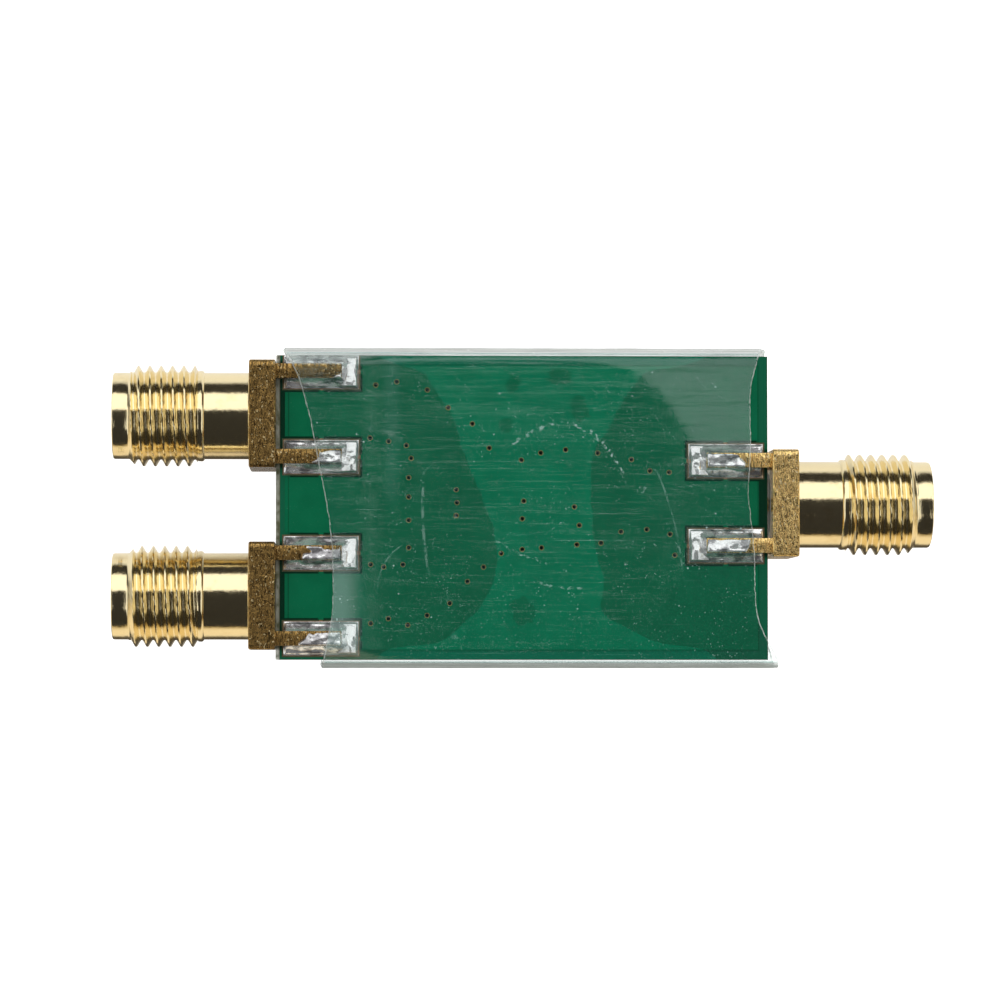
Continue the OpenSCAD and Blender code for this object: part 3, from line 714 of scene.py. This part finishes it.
def cable_path(stub):
    """Centre line: stub on the board, S-bend, straight, half turn, straight through the beads, S-bend, stub."""
    t = np.linspace(0, 1, 15)
    ease = soft(t)
    rise = np.stack([-(LIFT_L + 0.5) * t, 0 * t, LIFT * ease], -1)
    straight = np.linspace(0, 1, 8)[1:]
    start_x, end_x = START_X + 0.25, END_X + 0.25
    stub_x = start_x - LIFT_L - 0.5
    path = [np.array([stub_x - (stub - 0.25) * (1 - k), RAIL_Y, BEAD_Z + LIFT])
            for k in np.linspace(0, 1, 4)[:-1]]
    path += [np.array([start_x, RAIL_Y, BEAD_Z]) + r for r in rise[::-1]]
    path += [np.array([start_x + (TURN_X - start_x) * k, RAIL_Y, BEAD_Z]) for k in straight]
    for a in np.radians(np.linspace(90, -90, 33)[1:]):
        path.append(np.array([TURN_X + math.cos(a) * TURN_R, BEAD_Y + TURN_R + math.sin(a) * TURN_R, BEAD_Z]))
    path += [np.array([TURN_X + (end_x - TURN_X) * k, BEAD_Y, BEAD_Z]) for k in np.linspace(0, 1, 20)[1:-1]]
    path += [np.array([end_x, BEAD_Y, BEAD_Z]) + r for r in rise]
    end = path[-1]
    path += [end + np.array([-(stub - 0.25) * k, 0, 0]) for k in np.linspace(0, 1, 4)[1:]]
    return np.array(path)


def sweep(shape, path, radius, n):
    """Round bar of n sides along the path, with flat ends."""
    tangent = np.gradient(path, axis=0)
    tangent /= np.linalg.norm(tangent, axis=1)[:, None]
    side_dir = np.cross(tangent, (0, 0, 1.0))
    side_dir /= np.linalg.norm(side_dir, axis=1)[:, None]
    up_dir = np.cross(side_dir, tangent)
    a = np.arange(n) * 2 * math.pi / n
    rings = (path[:, None] + radius * (np.cos(a)[None, :, None] * side_dir[:, None]
                                       + np.sin(a)[None, :, None] * up_dir[:, None]))
    count = len(path)
    faces = grid_faces(count, n, close_cols=True)
    faces.append(list(range(n - 1, -1, -1)))
    faces.append([(count - 1) * n + i for i in range(n)])
    shape.add(rings.reshape(-1, 3), faces)


for name, radius, stub, material, slot_name, n in (
        ("shield", CABLE_R, 0.5, "braid", "cable_tin", 40), ("dielectric", INNER_R, 0.8, "ptfe", "ptfe", 28),
        ("core", CORE_R, 2.2, "tin", "cable_tin", 20)):
    cable = Shape()
    sweep(cable, cable_path(stub), radius, n)
    cable.make("cable_" + name, [M[material]], slot_name, 50.0, ["balun_cable_" + name])

cable_joint = Shape()
for i, (x, y) in enumerate(((START_X - LIFT_L, RAIL_Y), (END_X - LIFT_L, BEAD_Y))):
    mound(cable_joint, x - 2.2, x - 1.5, y - 0.30, y + 0.30, 0.06, 0.62, z_front, 8.0 + i)
    mound(cable_joint, x - 0.5, x + 0.02, y - 0.74, y + 0.74, 0.46, 0.62, z_front, 12.0 + i)
cable_joint.make("cable_end_solder", [M["solder"]], "solder", 60.0, ["cable_solder"])

for i in range(1, 5):
    low, high = cad("ferrite_bead_%d" % i)
    bead = Shape()
    x0, x1, bore = low[0], high[0], CABLE_R + 0.05
    profile = [(x0, bore + 0.12), (x0 + 0.02, bore + 0.03), (x0 + 0.14, bore), (x1 - 0.14, bore),
               (x1 - 0.02, bore + 0.03), (x1, bore + 0.12), (x1, BEAD_R - 0.20), (x1 - 0.05, BEAD_R - 0.07),
               (x1 - 0.18, BEAD_R - 0.006), (x1 - 0.3, BEAD_R), (x0 + 0.3, BEAD_R), (x0 + 0.18, BEAD_R - 0.006),
               (x0 + 0.05, BEAD_R - 0.07), (x0, BEAD_R - 0.20)]
    n = 72
    a = np.arange(n) * 2 * math.pi / n
    rows = []
    for u, r in profile:
        dent = np.array([wobble(u * 1.3 + i * 5, math.cos(t) * 2, math.sin(t) * 2) for t in a]) * 0.012 - 0.006
        rr = r + (dent if r > 1.0 else 0)
        rows.append(np.stack([np.full(n, u), BEAD_Y + np.cos(a) * rr, BEAD_Z + np.sin(a) * rr], -1))
    bead.add(np.concatenate(rows), grid_faces(len(rows), n, True, True, flip=True))
    bead.make("bead_%d" % i, [M["ferrite"]], "ferrite", 50.0, ["ferrite_bead_%d" % i])


# ---------------------------------------------------------------- heat-shrink sleeve
FILM_T = 0.15
OUT_Y = cad("heat_shrink_sleeve")[1][1] - FILM_T - 0.03
FILM_FLOOR = 0.10
EDGE_SLANT = 0.07
TH = np.arange(720) * 2 * math.pi / 720
COS, SIN = np.cos(TH), np.sin(TH)


def support(points):
    """Support function of discs [y, z, radius] in every direction TH."""
    pts = np.array(points, float)
    return (pts[:, :1] * COS + pts[:, 1:2] * SIN + pts[:, 2:3]).max(0)


leg_top, leg_low = z_rear + LEG_GAP + LEG_T, z_front - LEG_GAP - LEG_T
skin = 0.03
# what the film wraps all along: the board's top corners, its own side walls, the board's bottom corners
RESTING = support([(s * 9.25, z_rear_mask, skin) for s in (-1, 1)]
                  + [(s * OUT_Y, z, 0) for s in (-1, 1) for z in (4.95, 3.9)]
                  + [(s * 9.1, z_front_mask - 0.1, skin) for s in (-1, 1)])


def leg_box(ys):
    return [(y + s * HALF_LEG, z, skin + 0.03) for y in ys for s in (-1, 1) for z in (leg_top, leg_low)]


left_legs = [y for s, y in LEGS if s < 0]
right_legs = [y for s, y in LEGS if s > 0]
leg_end = PORTS["test"]["tip"] - JACK_L - LEG_L
# what it also bulges over, as (first x, last x, how far the bulge dies away, support function)
GROUPS = [
    (-40.0, -leg_end, 2.3, support(leg_box(left_legs))),
    (leg_end, 40.0, 2.1, support(leg_box(right_legs))),
    (bead_low[0], cad("ferrite_bead_4")[1][0], 1.6, support([(BEAD_Y, BEAD_Z, BEAD_R + skin)])),
    (START_X - 1.0, TURN_X + TURN_R + 0.3, 1.2,
     support([(BEAD_Y, BEAD_Z, CABLE_R + skin), (RAIL_Y, BEAD_Z, CABLE_R + skin)])),
]
TOP_N, LOW_N = 200, 216
LOOP, ALONG = TOP_N + LOW_N, 300


def section(x):
    """Points [y, z] of the taut film's inside at x: over the top from +Y to -Y, then back underneath."""
    h = RESTING.copy()
    for low_x, high_x, reach, group in GROUPS:
        away = max(low_x - x, x - high_x, 0.0)
        h = np.maximum(h, RESTING + np.maximum(group - RESTING, 0.0) / math.cosh(1.25 * away / reach))
    slope = (np.roll(h, -1) - np.roll(h, 1)) / (2 * (TH[1] - TH[0]))
    pts = np.stack([h * COS - slope * SIN, h * SIN + slope * COS], -1)
    pts = np.concatenate([pts, pts[:1]])
    halves = []
    for part, count in ((pts[:361], TOP_N), (pts[360:], LOW_N)):
        length = np.concatenate([[0], np.cumsum(np.linalg.norm(np.diff(part, axis=0), axis=1))])
        even = np.linspace(0, length[-1], count + 1)[:-1]
        halves.append(np.stack([np.interp(even, length, part[:, k]) for k in (0, 1)], -1))
    return np.concatenate(halves)


stations = np.linspace(-16.4, 16.4, 165)
loops = np.array([section(x) for x in stations])
kernel = np.array([1, 4, 7, 4, 1.0])
kernel /= kernel.sum()
for _ in range(2):
    padded = np.concatenate([loops[:1]] * 2 + [loops] + [loops[-1:]] * 2)
    loops = sum(k * padded[i:i + len(stations)] for i, k in enumerate(kernel))

# where the cut ends run, as [y, x] from the +Y side to the -Y side, on the solder side and under it
LEFT_TOP = [(9.97, -14.95), (9.0, -14.75), (7.35, -13.9), (5.0, -13.25), (1.8, -12.6), (-0.65, -12.1),
            (-3.0, -11.86), (-6.2, -11.86), (-8.4, -12.3), (-9.97, -12.5)]
RIGHT_TOP = [(9.97, 14.85), (9.2, 14.6), (8.3, 14.3), (7.0, 14.06), (4.2, 14.08), (0.7, 13.88), (-2.3, 14.25),
             (-6.2, 14.4), (-7.5, 14.75), (-8.5, 15.3), (-9.3, 15.8), (-9.97, 16.0)]
LEFT_UNDER = [(9.97, -15.0), (7.0, -14.2), (3.0, -13.3), (-1.0, -12.8), (-5.0, -12.4), (-9.97, -12.6)]
RIGHT_UNDER = [(9.97, 15.25), (6.0, 14.5), (2.0, 13.9), (-2.0, 14.0), (-6.0, 14.6), (-9.97, 15.8)]


def smooth_curve(points, at):
    """Value at each y of a curve through [y, x] control points, rounded off at the corners."""
    ys, xs = np.array(points[::-1]).T
    fine = np.linspace(ys[0], ys[-1], 400)
    values = np.interp(fine, ys, xs)
    window = np.hanning(43)
    window /= window.sum()
    wide = np.concatenate([2 * values[0] - values[21:0:-1], values, 2 * values[-1] - values[-2:-23:-1]])
    return np.interp(at, fine, np.convolve(wide, window, "valid"))


middle = loops[len(stations) // 2]
on_top = soft((middle[:, 1] - 4.0) / 1.2)
ragged = np.array([wobble(y * 1.9, z * 2.2, 4.0) * 0.05 + wobble(y * 7.0, z * 5.0, 9.0) * 0.015
                   for y, z in middle])


def cut_line(top, under):
    return on_top * smooth_curve(top, middle[:, 0]) + (1 - on_top) * smooth_curve(under, middle[:, 0])


x_left = cut_line(LEFT_TOP, LEFT_UNDER) + ragged
x_right = cut_line(RIGHT_TOP, RIGHT_UNDER) - ragged
share = np.linspace(0, 1, ALONG)[:, None]
xs = x_left + share * (x_right - x_left)
where = (xs - stations[0]) / (stations[1] - stations[0])
cell = np.clip(where.astype(int), 0, len(stations) - 2)
part = (where - cell)[..., None]
columns = np.arange(LOOP)[None, :]
yz = loops[cell, columns] * (1 - part) + loops[cell + 1, columns] * part
inner = np.concatenate([xs[..., None], yz], -1)


def sheet_normals(v):
    along = np.gradient(v, axis=0)
    around = np.roll(v, -1, axis=1) - np.roll(v, 1, axis=1)
    n = np.cross(around, along)
    n /= np.linalg.norm(n, axis=2)[..., None]
    centre = np.array([0, 0, 4.6])
    return n * np.sign(((v - centre) * n * (0, 1, 1)).sum(-1))[..., None]


normals = sheet_normals(inner)


def ripples(along, across, shift):
    """Height of long ripples that run along the film, worked out on every fourth row of points."""
    rows = np.array([[wobble(x * along + shift, y * across, z * across) for x, y, z in row]
                     for row in inner[::4]])
    return np.array([np.interp(np.arange(ALONG), np.arange(0, ALONG, 4), c) for c in rows.T]).T


ripple, fine_ripple = ripples(0.22, 1.15, 0), ripples(0.5, 4.2, 7)
sides = 1 - soft((OUT_Y - np.abs(inner[..., 1])) / 0.8)
lift = 0.014 + 0.020 * ripple + (0.004 + 0.014 * sides) * fine_ripple
inner = inner + normals * np.maximum(lift, 0)[..., None]
outer = inner + normals * FILM_T
outer[..., 0] *= 1 - EDGE_SLANT / 14.0
for sheet in (inner, outer):
    sheet[..., 2] = np.maximum(sheet[..., 2], FILM_FLOOR + (FILM_T if sheet is inner else 0))


# ---------------------------------------------------------------- film material
# wear on the film, as [x, y, x, y, bow, half width, strength, speckled]
MARKS = (
    (-1.2, 3.6, 6.4, 1.5, 2.6, 0.26, 0.34, True), (-1.8, -2.0, 1.8, -3.6, -0.2, 0.14, 0.22, True),
    (0.7, -4.6, 3.7, -5.0, -0.15, 0.12, 0.22, True), (-6.2, 2.3, -5.9, -4.1, -0.22, 0.13, 0.16, False),
    (-6.2, 2.2, -2.6, 3.7, 0.4, 0.07, 0.05, False), (-9.1, -5.3, -7.5, -2.3, 0.45, 0.08, 0.10, False),
    (8.2, 2.4, 9.8, -4.0, 0.25, 0.09, 0.13, False), (-9.5, 5.2, 5.4, 6.1, 0.0, 0.035, 0.10, False),
    (-9.9, 5.0, -7.3, 3.9, 0.2, 0.26, 0.06, False), (-3.2, -2.2, 4.4, -1.2, 0.1, 0.035, 0.07, False),
    (7.0, 1.1, 7.6, 1.1, 0.0, 0.30, 0.22, True), (-4.6, -8.0, -4.1, -8.0, 0.0, 0.34, 0.07, False),
)


def film(name, marks):
    """Clear film: lets light through, mirrors a little at each face, and carries hazing and marks outside, with
    painted sheen on its side walls, painted reflections laid on as whitish patches and a painted reflection
    where it stands off the board.
    """
    s = Shader(name)
    x, y, z = (s.axis(i) for i in range(3))
    streaks = s.noise(1.0, 4.0, (0.12, 3.4, 3.4), 0.6)
    combed = s.noise(1.0, 3.0, (0.16, 11.0, 11.0), 0.6, 23.0)
    broad = s.noise(0.35, 3.0, (0.4, 1.6, 1.6), seed=6.0)
    rough = s.add(s.mul(streaks, 0.08), 0.03)
    bump = s.bump(streaks, 0.058, 0.5)
    bump = s.bump(combed, 0.022, 0.5, bump)
    bump = s.bump(s.noise(2.5, 3.0, seed=2.0), 0.02, 0.25, bump)
    shine = s("BsdfGlossy", {"Color": (0.86, 1, 0.96, 1), "Roughness": rough, "Normal": bump})
    facing = s("VectorMath", {0: bump, 1: s("NewGeometry").outputs["Incoming"]}, operation="DOT_PRODUCT")
    graze = s.math("POWER", s.sub(1.0, s.abs(facing.outputs["Value"])), 5.0)
    fresnel = s.add(s.mul(graze, 0.96), 0.037)
    if not marks:
        clear = s("BsdfTransparent", {"Color": (0.985, 0.992, 0.988, 1)})
        return s.surface(s("MixShader", {0: fresnel, 1: clear, 2: shine}))

    top = s.step(s.axis(2, s("NewGeometry").outputs["Normal"]), 0.6, 0.85)
    cling = s.mul(clinging(s), top)

    speckle = s.step(s.noise(5.0, 4.0, seed=51.0), 0.50, 0.60)
    smudge = s.step(s.noise(2.2, 4.0, seed=53.0), 0.38, 0.62)

    def stroke(x0, y0, x1, y1, sag, thick, weight, broken):
        """Mark on the film along a bowed line; broken marks are speckled, the others smudged."""
        length = math.hypot(x1 - x0, y1 - y0)
        ux, uy = (x1 - x0) / length, (y1 - y0) / length
        dx, dy = s.sub(x, x0), s.sub(y, y0)
        t = s.math("DIVIDE", s.add(s.mul(dx, ux), s.mul(dy, uy)), length)
        off = s.sub(s.mul(dy, ux), s.mul(dx, uy))
        bow = s.mul(s.mul(t, s.sub(1.0, t)), 4.0 * sag)
        near = s.step(s.abs(s.sub(off, bow)), thick, thick * 0.25)
        near = s.mul(near, s.mul(s.step(t, -0.02, 0.08), s.step(t, 1.02, 0.92)))
        return s.mul(s.mul(near, speckle if broken else smudge), weight)

    strokes = 0.0
    for mark in MARKS:
        strokes = s.max(strokes, stroke(*mark))

    dust = s.mul(s.step(s.cells(1.7), 0.125, 0.075), s.step(s.noise(1.3, 3.0, seed=21.0), 0.47, 0.66))
    motes = s.mul(s.step(s.cells(4.6), 0.21, 0.12), s.step(s.noise(0.9, 4.0, seed=61.0), 0.40, 0.62))
    fine = s.step(s.noise(9.0, 3.0, seed=31.0), 0.60, 0.72)
    scratch = s.step(s.noise(1.2, 5.0, (0.10, 7.0, 1.0), 0.6, 14.0), 0.63, 0.72)
    scratch = s.mul(scratch, s.step(s.noise(0.30, 3.0, seed=40.0), 0.45, 0.62))

    hazy = s.mul(s.step(broad, 0.35, 0.7), 0.002)
    # painted reflection: a faint whitish layer where the film stands off the board
    painted_gap_reflection = s.mul(s.sub(1.0, cling), 0.011)
    veil = s.add(hazy, painted_gap_reflection)
    haze_and_sheen = strokes
    combing = s.mul(s.step(combed, 0.60, 0.72), s.step(broad, 0.42, 0.6))
    for mark, weight in ((dust, 0.40), (motes, 0.25), (fine, 0.05), (scratch, 0.12), (combing, 0.04)):
        haze_and_sheen = s.add(haze_and_sheen, s.mul(mark, weight))
    # painted reflections: a whitish patch at the bottom left and a faint column at x -8.2, laid on with the
    # hazing
    lower_left = s.mul(s.step(x, -9.6, -11.4), s.step(y, -2.6, -4.8))
    column = s.mul(s.step(s.abs(s.add(x, 8.2)), 0.75, 0.0), s.step(y, -0.6, 1.5))
    for mark, weight in ((lower_left, 0.16), (column, 0.03)):
        haze_and_sheen = s.add(haze_and_sheen, s.mul(s.mul(mark, top), weight))
    white = s.mul(haze_and_sheen, 12.0, True)
    haze_and_sheen = s.add(haze_and_sheen, veil)
    # painted sheen: the side walls get a whitish layer for their reflections, grey and darker on the shaded -Y
    # side, paler on the lit +Y side, while the real sheen there is cut back
    walls = s.mul(s.step(s.abs(y), 9.48, 9.68), s.step(z, 6.0, 5.5))
    painted_wall_sheen = s.mul(walls, s.add(s.mul(combed, 0.9), 0.12))
    lit_side = s.step(y, -9.0, 9.0)
    painted_wall_sheen = s.mul(painted_wall_sheen, s.sub(1.35, s.mul(lit_side, 0.25)))
    haze_and_sheen = s.add(haze_and_sheen, painted_wall_sheen, True)
    # painted shade: the board shows dimmer through the film where it stands off
    gap_tint = s.mix(cling, (0.92, 0.93, 0.93), (0.99, 1.0, 1.0))
    tint = s.mix(s("LightPath").outputs["Is Shadow Ray"], gap_tint, (1.0, 1.0, 1.0))
    clear = s("BsdfTransparent", {"Color": tint})
    pale = s.mix(white, (0.22, 0.86, 0.78), (0.66, 0.95, 0.89))
    wall_sheen_colour = s.mix(lit_side, (0.50, 0.54, 0.50), (0.80, 0.81, 0.79))
    milky_and_sheen = s("BsdfDiffuse", {"Color": s.mix(walls, pale, wall_sheen_colour)})
    body = s("MixShader", {0: haze_and_sheen, 1: clear, 2: milky_and_sheen})
    sheen = s.mul(fresnel, s.sub(1.0, s.mul(walls, 0.6)))
    return s.surface(s("MixShader", {0: sheen, 1: body, 2: shine}))


def film_edge():
    s = Shader("film_cut_edge")
    tone = s.noise(4.0, 4.0)
    color = s.mix(tone, (0.62, 0.70, 0.66), (0.95, 0.97, 0.96))
    glow = s("BsdfPrincipled", {"Base Color": color, "Roughness": 0.35})
    clear = s("BsdfTransparent", {"Color": (0.9, 0.95, 0.93, 1)})
    return s.surface(s("MixShader", {0: s.step(tone, 0.35, 0.65, 0.25, 0.80), 1: clear, 2: glow}))


sleeve = Shape()
sleeve.add(outer.reshape(-1, 3), grid_faces(ALONG, LOOP, close_cols=True, flip=True), 0)
sleeve.add(inner.reshape(-1, 3), grid_faces(ALONG, LOOP, close_cols=True), 1)
n_sheet = ALONG * LOOP
rim = []
for j in range(LOOP):
    k = (j + 1) % LOOP
    last = (ALONG - 1) * LOOP
    rim.append([j, k, n_sheet + k, n_sheet + j])
    rim.append([last + k, last + j, n_sheet + last + j, n_sheet + last + k])
sleeve.faces += rim
sleeve.slots += [2] * len(rim)
film_looks = [film("film_outside", True), film("film_inside", False), film_edge()]
sleeve.make("shrink_sleeve", film_looks, "sleeve_film", 60.0, ["heat_shrink_sleeve"])


# ---------------------------------------------------------------- stage, light and camera
def floor_material():
    """Pale table, mostly self-lit so that shadows stay faint; it fades far out and is clear from below.
    Where it shows mirrored in the metal it has painted light brighter near the part, a painted warm bounce
    light and then a painted shadow towards -Y."""
    s = Shader("pale_table")
    tone = s.noise(0.02, 2.0)
    away = s("VectorMath", {0: s.pos}, operation="LENGTH").outputs["Value"]
    color = s.mix(tone, (0.70, 0.70, 0.70), (0.74, 0.74, 0.74))
    color = s.mix(s.step(away, 38.0, 150.0, smooth=False), color, (0.10, 0.10, 0.10))
    far = s.step(away, 38.0, 150.0, 0.09, 0.01, False)
    back_along = s("NewGeometry").outputs["Incoming"]
    mirrored = s("LightPath").outputs["Is Glossy Ray"]
    # painted light in the mirror image: warm bounce light for rays heading towards -Y
    painted_bounce_side = s.mul(s.step(s.axis(1, back_along), 0.0, 0.2), mirrored)
    # painted shadow: dark where those rays come down steeply, close under the part
    shaded = s.mul(painted_bounce_side, s.step(s.axis(2, back_along), 0.64, 0.80))
    # painted light: the glow is raised near the part for mirror rays
    near = s.step(away, 60.0, 38.0, 0.0, 0.20, False)
    far = s.add(far, s.mul(mirrored, near))
    color = s.mix(s.mul(painted_bounce_side, 0.6), color, (0.80, 0.58, 0.22))
    color = s.mix(s.mul(shaded, 0.9), color, (0.02, 0.02, 0.02))
    far = s.mul(far, s.sub(1.0, s.mul(shaded, 0.9)))
    strength = s.mix(s("LightPath").outputs["Is Camera Ray"], far, (0.93, 0.93, 0.93))
    lit = s("AddShader", {0: s("BsdfDiffuse", {"Color": color}), 1: s("Emission", {"Color": strength})})
    back = s("NewGeometry").outputs["Backfacing"]
    return s.surface(s("MixShader", {0: back, 1: lit, 2: s("BsdfTransparent")}))


table = bpy.data.meshes.new("table")
corners = [(1.6 * x, 1.6 * y, 0) for x, y in ((-1, -1), (1, -1), (1, 1), (-1, 1))]
table.from_pydata(corners, [], [(0, 1, 2, 3)])
table.materials.append(floor_material())
table_obj = bpy.data.objects.new("table", table)
bpy.context.scene.collection.objects.link(table_obj)

world = bpy.data.worlds.new("studio")
bpy.context.scene.world = world
world.use_nodes = True
tree = world.node_tree
tree.nodes.clear()
seen = tree.nodes.new("ShaderNodeBackground")
seen.inputs[0].default_value = (1, 1, 1, 1)
seen.inputs[1].default_value = 1.05
room = tree.nodes.new("ShaderNodeBackground")
room.inputs[0].default_value = (1.0, 0.97, 0.95, 1)
room.inputs[1].default_value = 0.035
path = tree.nodes.new("ShaderNodeLightPath")
blend = tree.nodes.new("ShaderNodeMixShader")
out = tree.nodes.new("ShaderNodeOutputWorld")
tree.links.new(path.outputs["Is Camera Ray"], blend.inputs[0])
tree.links.new(room.outputs[0], blend.inputs[1])
tree.links.new(seen.outputs[0], blend.inputs[2])
tree.links.new(blend.outputs[0], out.inputs[0])


def softbox(name, angle, distance, wide, tall, radiance, shiny=True, azimuth=0.0):
    """Area light that faces the origin, angle degrees from straight up towards +Y, swung round by azimuth."""
    light = bpy.data.lights.new(name, "AREA")
    light.shape = "RECTANGLE"
    light.size, light.size_y = wide, tall
    light.energy = radiance * math.pi * wide * tall
    obj = bpy.data.objects.new(name, light)
    a, b = math.radians(angle), math.radians(azimuth)
    obj.location = (distance * math.sin(a) * math.sin(b), distance * math.sin(a) * math.cos(b),
                    distance * math.cos(a))
    obj.rotation_euler = obj.location.to_track_quat("Z", "Y").to_euler()
    obj.visible_glossy = shiny
    obj.visible_camera = False
    bpy.context.scene.collection.objects.link(obj)


softbox("key", 37.0, 0.60, 1.1, 0.52, 1.36)
softbox("fill", 0.0, 0.9, 0.9, 0.9, 1.38, shiny=False)
softbox("left", 58.0, 0.60, 0.62, 0.56, 1.0, azimuth=-101.0)
softbox("right", 58.0, 0.60, 0.62, 0.56, 1.0, azimuth=101.0)

camera = bpy.data.cameras.new("camera")
camera.lens = 148.6
camera.sensor_width = 36.0
camera.clip_start, camera.clip_end = 0.01, 10.0
cam = bpy.data.objects.new("camera", camera)
cam.location = Vector((-11.4, -9.9, 261.3)) * MM
target = Vector((-1.4, 0.55, 3.33)) * MM
look = (cam.location - target).normalized()
right = Vector((0, 1, 0)).cross(look).normalized()
cam.rotation_euler = Matrix((right, look.cross(right), look)).transposed().to_euler()
bpy.context.scene.collection.objects.link(cam)
bpy.context.scene.camera = cam
bpy.context.scene.view_settings.view_transform = "Standard"
